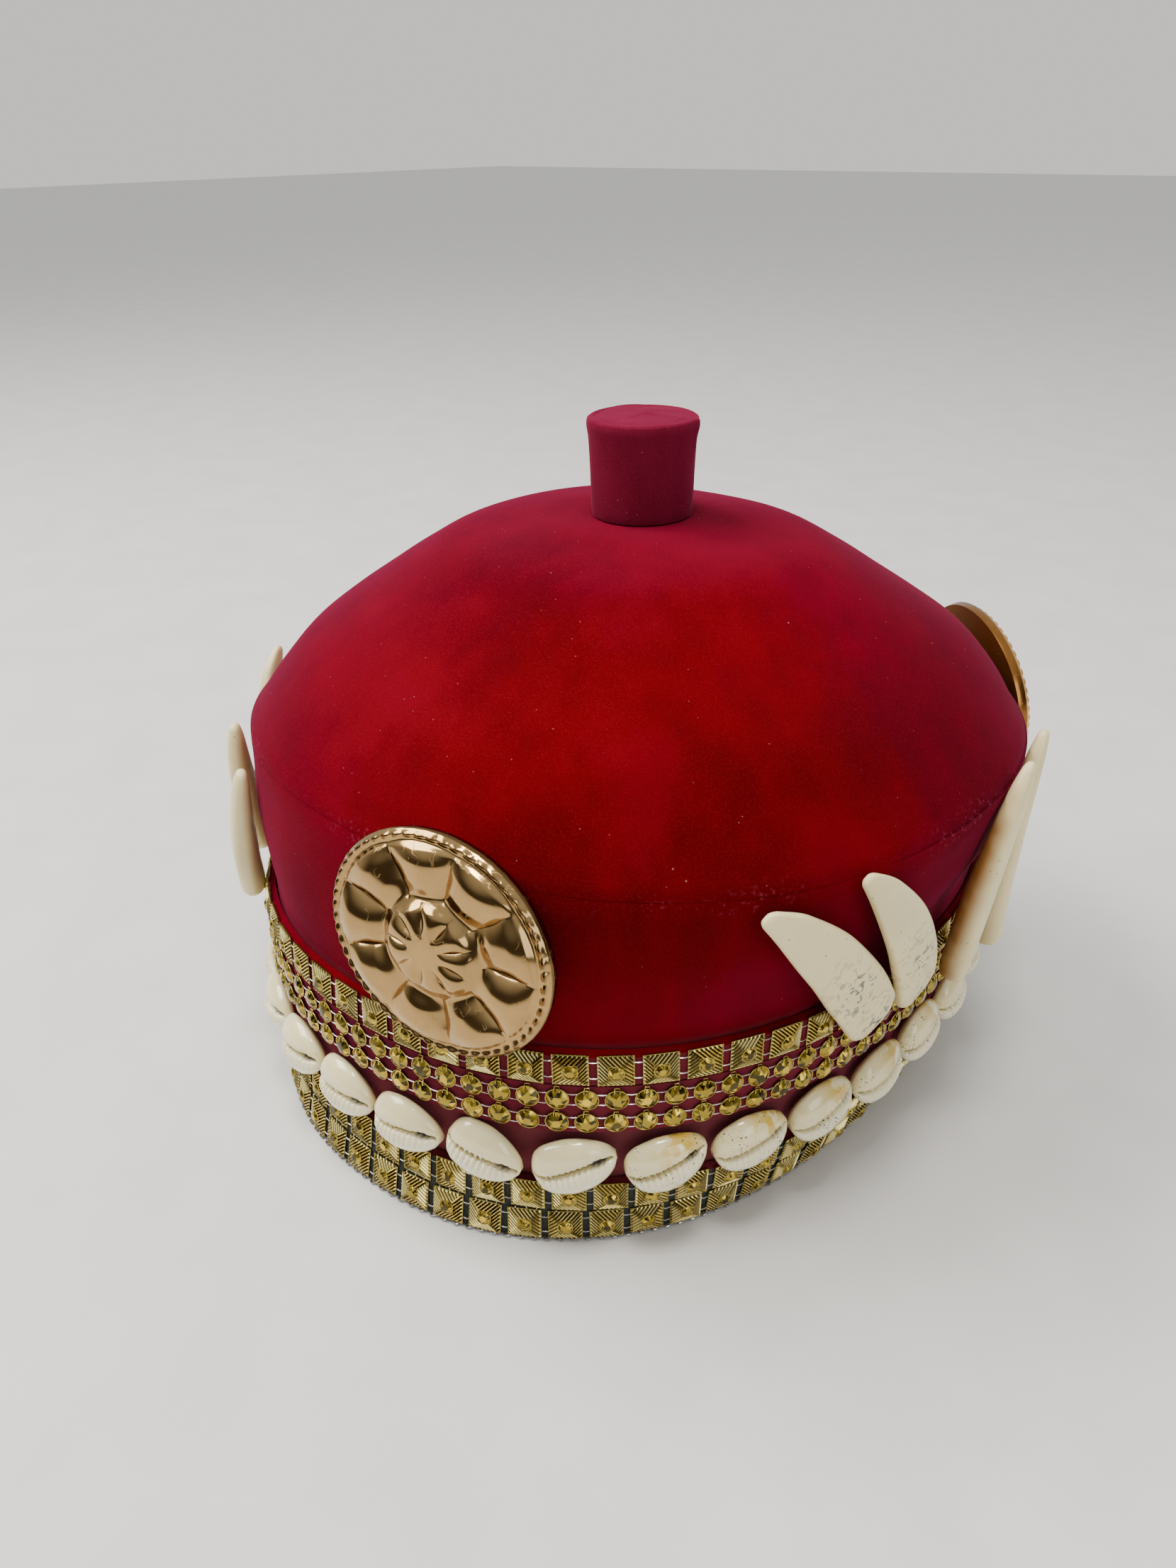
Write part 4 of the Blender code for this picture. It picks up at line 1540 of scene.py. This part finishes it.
@dataclass(frozen=True)
class CowrieSizes:
    """A cowrie with its slit facing out, and how the shells stand."""

    count: int = 30
    length: float = 19.3 * MM
    width: float = 14.2 * MM
    thick: float = 6.2 * MM
    height: float = 26.2 * MM
    first_turn: float = 268.0
    seat_out: float = 1.9 * MM
    lean: float = 16.0
    outline: Sequence[LengthRow] = (
        LengthRow(0.00, 0.10, 0.40), LengthRow(0.03, 0.42, 0.55), LengthRow(0.10, 0.72, 0.76),
        LengthRow(0.22, 0.91, 0.91), LengthRow(0.44, 1.00, 1.00), LengthRow(0.62, 0.93, 0.96),
        LengthRow(0.80, 0.74, 0.82), LengthRow(0.94, 0.44, 0.56), LengthRow(1.00, 0.14, 0.36))
    slit_depth: float = 2.0 * MM
    roll: float = 0.80 * MM
    roll_reach: float = 0.55 * MM
    lip: float = 0.22 * MM
    lip_reach: float = 1.5 * MM
    ridges: int = 14
    ridge: float = 0.46 * MM
    upper_ridge: float = 0.36 * MM
    upper_reach: float = 0.50 * MM
    bend: float = 0.5 * MM
    stations: int = 76
    tilts: Sequence[float] = (-6, -2, -22, 14, 14, 8, 10, 8, 6, 4)
    stained: Sequence[int] = (4, 5, 6, 7, 8, 9, 10)


@dataclass(frozen=True)
class ShellFront:
    """Where the points of a shell's front lie, by place across (rows) and along (columns)."""

    along: np.ndarray
    width: np.ndarray
    thick: np.ndarray
    mouth: np.ndarray
    half: np.ndarray
    across: np.ndarray
    from_slit: np.ndarray

    @property
    def near(self) -> np.ndarray:
        """Distance from the middle of the slit."""
        return np.abs(self.from_slit)

    @property
    def strength(self) -> np.ndarray:
        """How open the slit is, from 0 to 1."""
        return np.clip(self.half / (0.16 * MM), 0, 1)


class Cowries(Piece):
    """The row of cowries, each a little different, some of them stained."""

    sizes = CowrieSizes()

    def front(self, seed: int, chance: random.Random) -> ShellFront:
        """Lays out a shell's front, with more points near its slit.

        Args:
            seed: Number that the slit's waver comes from.
            chance: Gives the slit's bend.

        Returns:
            Where its points lie.
        """
        sizes = self.sizes
        t = (1 - np.cos(np.linspace(0, math.pi, sizes.stations))) / 2
        t = 0.35 * t + 0.65 * np.linspace(0, 1, sizes.stations)
        places = [row.along for row in sizes.outline]
        width = smooth_through(places, [row.width for row in sizes.outline], t) * sizes.width / 2
        thick = smooth_through(places, [row.thick for row in sizes.outline], t) * sizes.thick
        centre = 0.05 - 0.34 * (1 - t) ** 1.6 - 0.04 * np.sin(math.pi * t) * chance.uniform(0.2, 1.0)
        mouth = np.exp(-((t - 0.80) / 0.085) ** 2)
        half = (0.20 + 0.05 * np.sin(7 * t + seed) + 0.50 * mouth) * MM
        half = half * np.clip(np.minimum(t / 0.06, (0.975 - t) / 0.03), 0, 1) + 0.02 * MM
        upper = np.cos(np.linspace(0, math.pi / 2, 11))[:, None]
        mids = np.linspace(1, -1, 9)[:, None]
        lower = np.sin(np.linspace(0, math.pi / 2, 15))[:, None]
        slit = centre * width
        across = np.concatenate([
            slit + half + (width - slit - half) * upper[:-1],
            slit + half * mids,
            slit - half - (width + slit - half) * lower[1:]])
        return ShellFront(t, width, thick, mouth, half, across, across - slit)

    def relief(self, front: ShellFront, seed: int) -> np.ndarray:
        """How far a shell's front stands out: its dome, slit, rolled lips and teeth.

        Args:
            front: Where its points lie.
            seed: Number that the teeth's waver comes from.

        Returns:
            A height for each point.
        """
        sizes, t, half, near = self.sizes, front.along, front.half, front.near
        share = np.clip(np.abs(front.across) / front.width, 0, 1)
        up = 0.42 + 0.56 * (1 - share ** 2.7) ** 0.55
        lips = np.exp(-((near - half) / sizes.lip_reach) ** 2) * (near > half)
        depth = np.where(near <= half, sizes.slit_depth * (1 - 0.55 * (near / half) ** 2), 0)
        roll = np.where(near > half, np.exp(-(near - half) / sizes.roll_reach), 1.0)
        z = up * front.thick - (depth + sizes.roll * roll) * front.strength
        z = z - sizes.lip * lips
        wave = np.sin(t * sizes.ridges * math.tau + 0.4 * np.sin(5 * t + seed))
        crest = np.sign(wave) * np.abs(wave) ** 0.7
        toothed = np.clip(np.minimum((t - 0.06) / 0.08, (0.93 - t) / 0.08), 0, 1)
        below = np.clip(1 - (near - half) / (0.58 * front.width), 0, 1) ** 0.6
        below = (front.from_slit < 0) * below
        z = z + sizes.ridge * crest * toothed * below * np.clip(near / half, 0, 1)
        above = (front.from_slit > 0) * np.exp(-np.abs(near - half) / sizes.upper_reach)
        return z + sizes.upper_ridge * crest * toothed * above

    def zones(self, front: ShellFront) -> np.ndarray:
        """What the finish needs to know of a shell's front.

        Args:
            front: Where its points lie.

        Returns:
            Lip, slit and stain for each point, by place along, place across and zone.
        """
        t, half, near, from_slit = front.along, front.half, front.near, front.from_slit
        # painted shade inside the slit, deepest at its wide mouth
        dark = (near <= half * 1.02) * np.clip(1.25 - 0.8 * (near / half) ** 2, 0, 1) * front.strength
        dark = dark * (0.26 + 0.74 * np.clip(front.mouth * 1.6, 0, 1))
        lip = np.clip((half - from_slit) / (1.2 * MM), 0, 1)
        stain = np.exp(-((t - 0.72) / 0.26) ** 2) * np.clip(from_slit / (1.6 * MM), 0, 1)
        stain = np.maximum(stain, 0.8 * np.clip((-from_slit - 3.2 * MM) / (1.5 * MM), 0, 1)
                           * np.clip((t - 0.4) / 0.2, 0, 1))
        return np.stack([lip.T, dark.T, stain.T], -1)

    def shell(self, seed: int) -> tuple[np.ndarray, Faces, np.ndarray]:
        """One shell.

        Args:
            seed: Number that its small differences come from.

        Returns:
            Its points, faces and zones: lip, slit and stain for each point.
        """
        sizes, chance = self.sizes, random.Random(seed)
        front = self.front(seed, chance)
        back = np.linspace(-1, 1, 9)[1:-1, None]
        back_up = 0.42 - 0.42 * (1 - np.abs(back) ** 4) ** 0.5
        across = np.concatenate([front.across, back * front.width])
        z = np.concatenate([self.relief(front, seed), back_up * front.thick])
        grid = np.stack([(front.along - 0.5 + 0 * across) * sizes.length, across, z], -1)
        grid = grid.transpose(1, 0, 2)
        bend = sizes.bend * np.sin(math.pi * front.along)
        grid[..., 1] += (bend * chance.uniform(-1, 1))[:, None]
        stations, ring = grid.shape[:2]
        zones = np.zeros((stations, ring, 3))
        zones[:, :len(front.across)] = self.zones(front)
        return grid.reshape(-1, 3), capped_faces(stations, ring), zones.reshape(-1, 3)

    def build(self, clean: ShellFinish, stained: ShellFinish) -> bpy.types.Object:
        """Builds and joins all the shells as one object.

        Args:
            clean: The finish of most shells.
            stained: The finish of those in sizes.stained.

        Returns:
            The ring of shells.
        """
        sizes, form = self.sizes, self.form
        parts, zones = MeshParts(), []
        turns = form.even_turns(sizes.count, sizes.height, sizes.first_turn)
        for k, turn in enumerate(turns):
            chance = random.Random(100 + k)
            points, faces, zone = self.shell(k)
            points = points * (chance.uniform(0.995, 1.03), chance.uniform(0.97, 1.03), 1)
            place = form.place(turn, sizes.height, sizes.seat_out,
                               sizes.tilts[k % len(sizes.tilts)], sizes.lean)
            parts.add(points, faces, int(k in sizes.stained), place)
            zones.append(zone)
        obj = parts.build("cowrie_shells", [clean.material(), stained.material()], 70)
        colours = np.concatenate([np.concatenate(zones), np.ones((parts.count, 1))], 1)
        layer = obj.data.attributes.new("shell_zones", "FLOAT_COLOR", "POINT")
        layer.data.foreach_set("color", colours.ravel())
        return self.join(obj, "shell", *[f"cowrie_{k + 1:02d}" for k in range(sizes.count)])


@dataclass(frozen=True)
class TuskPlace:
    """Where one tooth lies on the wall, its size and its looks.

    Turns and the sway are in degrees. Heights, lifts, width, thickness and bow are in
    millimetres. Scratches and stain are shares of the strongest.
    """

    name: str
    form: Form
    foot_turn: float
    foot_height: float
    foot_lift: float
    tip_turn: float
    tip_height: float
    tip_lift: float
    width: float
    thick: float
    bow: float
    scratched: float = 0.0
    stain: float = 0.0
    sway: float = 0.0


TUSKS = (
    TuskPlace("tusk_right_1", Form.TOOTH, 347.2, 50.9, 3.7, 327.4, 95.0, 2.0, 16.0, 4.6, 0.2, 1.0),
    TuskPlace("tusk_right_2", Form.TOOTH, 355.6, 50.6, 3.5, 339.8, 99.0, 1.6, 14.6, 4.6, 0.2, 0.9),
    TuskPlace("tusk_right_3", Form.TUSK, 3.2, 46.5, 4.1, 8.2, 103.5, 1.6, 9.4, 7.0, -1.1, 0.0, 1.0,
              -2.6),
    TuskPlace("tusk_right_4", Form.TUSK, 16.5, 41.0, 5.4, 21.5, 100.0, 1.6, 9.4, 7.0, -1.3, 0.0, 0.3,
              -1.8),
    TuskPlace("tusk_left_1", Form.TUSK, 232.0, 52.2, 3.4, 237.0, 91.5, 0.8, 12.0, 6.6, 0.4, 0.0, 0.5),
    TuskPlace("tusk_left_2", Form.TUSK, 221.5, 56.0, 3.1, 225.5, 96.0, 2.0, 10.4, 6.4, -0.2, 0.0, 0.3),
    TuskPlace("tusk_left_3", Form.TOOTH, 212.0, 56.0, 3.2, 202.5, 102.0, 2.0, 13.0, 4.6, 0.2),
)

TOOTH_ROWS = {
    Form.TOOTH: (LengthRow(0, 0.74, 0.84, 0.02), LengthRow(0.07, 0.95, 1, 0.07),
                 LengthRow(0.30, 0.97, 1, 0.22), LengthRow(0.58, 0.87, 0.94, 0.31),
                 LengthRow(0.84, 0.58, 0.76, 0.19), LengthRow(1, 0.22, 0.46, -0.08)),
    Form.TUSK: (LengthRow(0, 0.74, 0.84), LengthRow(0.06, 0.94, 1), LengthRow(0.35, 1, 1),
                LengthRow(0.65, 0.86, 0.88), LengthRow(0.88, 0.62, 0.66), LengthRow(1, 0.30, 0.36)),
}


class Tusk(Piece):
    """One ivory-coloured tooth or tusk that leans on the velvet."""

    stations = 72
    around = 40
    tip_share = 0.035

    def __init__(self, form: HatForm, place: TuskPlace) -> None:
        """Keeps the surface and where this tooth lies on it."""
        super().__init__(form)
        self.place = place

    def curve(self, t: np.ndarray) -> tuple[np.ndarray, np.ndarray, np.ndarray]:
        """The tooth's middle line, a curve through its foot, half way point and tip.

        Args:
            t: Shares of the way from foot to tip.

        Returns:
            The line's points, and the unit ways across the tooth and out of the velvet.
        """
        place, form = self.place, self.form
        share = np.array([0.0, 0.5, 1.0])
        turn = place.foot_turn + (place.tip_turn - place.foot_turn) * share
        turn[1] += place.sway
        height = (place.foot_height + (place.tip_height - place.foot_height) * share) * MM
        lift = place.foot_lift + (place.tip_lift - place.foot_lift) * share
        lift = (lift + place.bow * np.sin(math.pi * share) + place.thick / 2) * MM
        foot, half_way, tip = form.wall_points(turn, height, lift)
        way = half_way - form.wall_points(turn[1], height[1])
        s = t[:, None]
        middle = foot * (2 * s * s - 3 * s + 1) + half_way * 4 * (s - s * s) + tip * (2 * s * s - s)
        ahead = foot * (4 * s - 3) + half_way * (4 - 8 * s) + tip * (4 * s - 1)
        ahead /= np.linalg.norm(ahead, axis=1, keepdims=True)
        across = np.cross(ahead, way)
        across /= np.linalg.norm(across, axis=1, keepdims=True)
        return middle, across, np.cross(across, ahead)

    def build(self) -> bpy.types.Object:
        """Builds and joins the tooth.

        Returns:
            The tooth.
        """
        place, ends = self.place, self.tip_share
        t = np.linspace(0, 1, self.stations)
        extra = np.linspace(0, ends, 6)[1:-1]
        t = np.sort(np.concatenate([t, extra, 1 - extra]))
        rows = TOOTH_ROWS[place.form]
        along = [row.along for row in rows]
        width = smooth_through(along, [row.width for row in rows], t) * place.width / 2 * MM
        thick = smooth_through(along, [row.thick for row in rows], t) * place.thick / 2 * MM
        bend = smooth_through(along, [row.bend for row in rows], t) * place.width / 2 * MM
        foot_round = np.sqrt(np.clip(1 - (1 - np.clip(t / 0.012, 0, 1)) ** 2, 0, 1))
        tip_round = np.sqrt(np.clip(1 - (1 - np.clip((1 - t) / ends, 0, 1)) ** 2, 0, 1))
        blunt = np.minimum(foot_round * 0.18 + 0.82, tip_round * 0.8 + 0.2)
        middle, across, out = self.curve(t)
        middle = middle + across * bend[:, None]
        angle = np.linspace(0, math.tau, self.around, endpoint=False)
        power = 0.62 if place.form is Form.TOOTH else 0.84
        cos = np.copysign(np.abs(np.cos(angle)) ** power, np.cos(angle))
        sin = np.copysign(np.abs(np.sin(angle)) ** power, np.sin(angle))
        seed = len(place.name) + int(place.foot_turn)
        uneven = 1 + 0.02 * gentle_noise(np.degrees(angle)[None, :], t[:, None], seed, 6)
        points = (middle[:, None] + uneven[..., None] * (
            (width * blunt)[:, None, None] * cos[None, :, None] * across[:, None]
            + (thick * blunt)[:, None, None] * sin[None, :, None] * out[:, None]))
        finish = IvoryFinish(f"ivory_{place.name}", scratched=place.scratched, stain=place.stain)
        parts = MeshParts()
        parts.add(points.reshape(-1, 3), capped_faces(len(t), self.around))
        obj = parts.build(place.name.replace("tusk", "ivory"), [finish.material()], 50)
        soiled = np.clip(-0.9 * cos - 0.42 * sin, 0, 1) ** 1.5
        soiled = soiled[None, :] * np.clip((0.97 - t[:, None]) / 0.25, 0, 1)
        scratched = np.exp(-((t - 0.36) / 0.16) ** 2) + np.exp(-((t - 0.06) / 0.07) ** 2)
        scratched = scratched[:, None] * (1 - 0.75 * np.abs(cos[None, :]))
        give_marks(obj, "soiled", soiled.ravel())
        give_marks(obj, "scratched", scratched.ravel())
        return self.join(obj, "ivory", place.name)


@dataclass(frozen=True)
class MedalPlace:
    """Where an oval ornament sits and how it is turned, in degrees and millimetres."""

    name: str
    turn: float
    height: float
    lift: float
    lean: float
    tilt: float
    size: float


MEDALS = (
    MedalPlace("front_medallion", 286.5, 82.5, 2.0, 4.6, -22.0, 1.0),
    MedalPlace("back_medallion", 51.0, 90.0, 0.6, 0.0, 20.0, 0.9),
)


@dataclass(frozen=True)
class MedalSizes:
    """The shared form of the oval ornaments."""

    width: float = 57.0 * MM
    height: float = 49.0 * MM
    dome: float = 8.5 * MM
    petals: int = 9
    rows: Sequence[tuple[float, float]] = (
        (0.00, 0.98), (0.12, 0.97), (0.22, 0.92), (0.34, 0.84), (0.41, 0.66), (0.46, 0.56),
        (0.60, 0.64), (0.74, 0.66), (0.86, 0.56), (0.91, 0.42), (0.95, 0.42), (1.00, 0.28))
    beads: int = 54
    columns: int = 288
    rings: int = 96


class Medallion(Piece):
    """A polished cast oval with a plain rosette: a boss, two rings of petals and a beaded rim."""

    sizes = MedalSizes()

    def build(self, place: MedalPlace, finish: CastFinish) -> bpy.types.Object:
        """Builds and joins one ornament.

        Args:
            place: Where it sits.
            finish: Its polished metal; its flat back is the same metal, unpolished.

        Returns:
            The ornament.
        """
        sizes, columns = self.sizes, self.sizes.columns
        angle = np.linspace(0, math.tau, columns, endpoint=False)[None, :]
        r = np.linspace(0.012, 1, sizes.rings)[:, None]
        z = smooth_through([row[0] for row in sizes.rows], [row[1] for row in sizes.rows], r) + 0 * angle
        outer = np.sin(math.pi * np.clip((r - 0.43) / 0.48, 0, 1)) ** 0.7
        lobe = np.abs(np.cos(sizes.petals * angle / 2)) ** 0.8
        z = z + 0.30 * outer * (lobe - 0.60)
        inner = np.sin(math.pi * np.clip((r - 0.13) / 0.28, 0, 1))
        z = z + 0.13 * inner * (np.abs(np.sin(sizes.petals * angle / 2)) ** 0.8 - 0.6)
        bead = np.abs(np.cos(sizes.beads * angle / 2)) ** 0.8
        z = z + 0.07 * np.exp(-((r - 0.955) / 0.024) ** 2) * bead
        x = sizes.width / 2 * r * np.cos(angle)
        y = sizes.height / 2 * r * np.sin(angle)
        front = np.stack([x, y, z * sizes.dome], -1)
        edge = np.stack([0.985 * x[-1], 0.985 * y[-1], 0 * x[-1]], -1)[None]
        rows = np.concatenate([front, edge]) * place.size
        parts = MeshParts()
        parts.add(rows.reshape(-1, 3), capped_faces(len(rows), columns), 0, self.form.place(
            place.turn, place.height * MM, place.lift * MM, place.tilt, place.lean))
        parts.slots[-1] = 1
        raw = CastFinish(f"{finish.name}_raw", finish.color, 0.5)
        obj = parts.build(place.name.replace("medallion", "rosette"),
                          [finish.material(), raw.material()], 60)
        return self.join(obj, "medallion", place.name)


@dataclass(frozen=True)
class CameraPlace:
    """The photo's camera."""

    azimuth: float = 41.414
    elevation: float = 28.197
    distance: float = 361.899 * MM
    target: tuple[float, float, float] = (-15.348 * MM, -1.398 * MM, 64.764 * MM)
    roll: float = -0.767
    lens: float = 28.31
    sensor: float = 36.0


@dataclass(frozen=True)
class LightPlace:
    """A soft lamp, pointed at the middle of the hat."""

    name: str
    azimuth: float
    elevation: float
    distance: float
    size: tuple[float, float]
    power: float
    color: Color


LIGHTS = (
    LightPlace("window", 300.0, 52.0, 1.25, (0.9, 0.7), 20.0, (1.0, 0.98, 0.95)),
    LightPlace("ceiling", 40.0, 80.0, 1.30, (0.32, 0.32), 10.5, (1.0, 0.95, 0.88)),
    LightPlace("fill", 75.0, 20.0, 1.40, (0.6, 0.8), 4.2, (0.95, 0.97, 1.0)),
)


def way_to(azimuth: float, elevation: float) -> Vector:
    """The way from the hat to a place, from its angles in degrees; 0 looks from -Y."""
    side, rise = math.radians(azimuth), math.radians(elevation)
    return Vector((math.sin(side) * math.cos(rise), -math.cos(side) * math.cos(rise), math.sin(rise)))


class Stage:
    """The table, the surroundings, the lamps and the camera."""

    def floor(self) -> None:
        """Adds a pale plain table top."""
        mesh = bpy.data.meshes.new("table_top")
        half, drop = 6.0, 0.02
        mesh.from_pydata([(x * half, y * half, z) for z in (0, -drop)
                          for x, y in ((-1, -1), (1, -1), (1, 1), (-1, 1))], [],
                         [(0, 1, 2, 3), (7, 6, 5, 4), (0, 4, 5, 1), (1, 5, 6, 2), (2, 6, 7, 3),
                          (3, 7, 4, 0)])
        obj = link("table_top", mesh)
        mesh.materials.append(PlainFinish("pale_paint", (0.72, 0.71, 0.69), 0.55, grain=30.0,
                                          depth=0.01 * MM, contrast=0.03).material())

    def surroundings(self) -> None:
        """Adds a soft room: light above, darker at the horizon."""
        world = bpy.data.worlds.new("room")
        world.use_nodes = True
        bpy.context.scene.world = world
        tree = Tree(world.node_tree)
        way = tree.add("ShaderNodeSeparateXYZ", {
            "Vector": tree.add("ShaderNodeTexCoord").outputs["Generated"]})
        behind = tree.math("MULTIPLY_ADD", way.outputs[0], -0.66, tree.times(way.outputs[1], 0.75))
        room = tree.blend(tree.step(behind, -0.35, 0.55), (0.10, 0.085, 0.07), (0.84, 0.82, 0.78))
        colour = tree.blend(tree.step(way.outputs[2], 0.25, 0.85), room, (0.85, 0.86, 0.88))
        back = world.node_tree.nodes["Background"]
        tree.feed(back.inputs["Color"], colour)
        back.inputs["Strength"].default_value = 0.95

    def lamps(self) -> None:
        """Adds the lamps."""
        middle = Vector((0, 0, 70 * MM))
        for place in LIGHTS:
            lamp = bpy.data.lights.new(place.name, "AREA")
            lamp.shape = "RECTANGLE"
            lamp.size, lamp.size_y = place.size
            lamp.energy = place.power
            lamp.color = place.color
            obj = link(place.name, lamp)
            way = way_to(place.azimuth, place.elevation)
            obj.location = middle + way * place.distance
            obj.rotation_euler = (-way).to_track_quat("-Z", "Y").to_euler()

    def camera(self, place: CameraPlace) -> None:
        """Adds the photo's camera.

        Args:
            place: Where it stands, and its lens.
        """
        back = way_to(place.azimuth, place.elevation)
        right = (-back).cross(Vector((0, 0, 1))).normalized()
        up = right.cross(-back)
        roll = math.radians(place.roll)
        turned = math.cos(roll) * right + math.sin(roll) * up
        upright = -math.sin(roll) * right + math.cos(roll) * up
        lens = bpy.data.cameras.new("photo_camera")
        lens.lens = place.lens
        lens.sensor_width = place.sensor
        lens.clip_start = 20 * MM
        obj = link("photo_camera", lens)
        obj.matrix_world = Matrix.Translation(
            Vector(place.target) + back * place.distance) @ Matrix(
            (turned, upright, back)).transposed().to_4x4()
        bpy.context.scene.camera = obj


def main() -> None:
    """Builds and dresses the hat, then the stage."""
    logging.basicConfig(level=logging.INFO, format="%(name)s: %(message)s")
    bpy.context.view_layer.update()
    form = HatForm()
    crown = VelvetCrown(form)
    crown.side(VelvetFinish("velvet_side", seam=form.wall_height, dusty_below=60 * MM))
    crown.top(VelvetFinish("velvet_top", seam=form.wall_height))
    VelvetStem(form).build(VelvetFinish("velvet_stem", (0.105, 0.0030, 0.014), (0.180, 0.010, 0.034),
                                        sheen_weight=0.30))
    gold = GoldFinish().material()
    rim = GoldFinish("rim_gold", (0.34, 0.25, 0.045), (0.50, 0.38, 0.085), hatched=False).material()
    stone = StoneFinish().material()
    wire = PlainFinish("silver_wire", (0.46, 0.43, 0.40), 0.28, 1.0).material()
    dark = PlainFinish("dark_weave", (0.022, 0.026, 0.022), 0.9, grain=1600.0, depth=0.2 * MM).material()
    faded = VelvetFinish("faded_velvet", (0.085, 0.008, 0.015), (0.15, 0.022, 0.030)).material()
    ledge = VelvetFinish("velvet_ledge").material()
    squares = SquareTrim(form)
    for band, behind in zip(BANDS, ((dark, faded), (faded, ledge))):
        squares.build(band, (gold, stone, wire, *behind, rim))
    StoneTrim(form).build((rim, stone, wire, faded))
    Cowries(form).build(ShellFinish(), ShellFinish("shell_stained", 1.0))
    for place in TUSKS:
        Tusk(form, place).build()
    brass = CastFinish("rose_brass", (0.46, 0.29, 0.115), 0.11)
    bronze = CastFinish("orange_brass", (0.88, 0.46, 0.14), 0.20)
    for place, finish in zip(MEDALS, (brass, bronze)):
        Medallion(form).build(place, finish)
    stage = Stage()
    stage.floor()
    stage.surroundings()
    stage.lamps()
    stage.camera(CameraPlace())


if __name__ == "__main__":
    main()
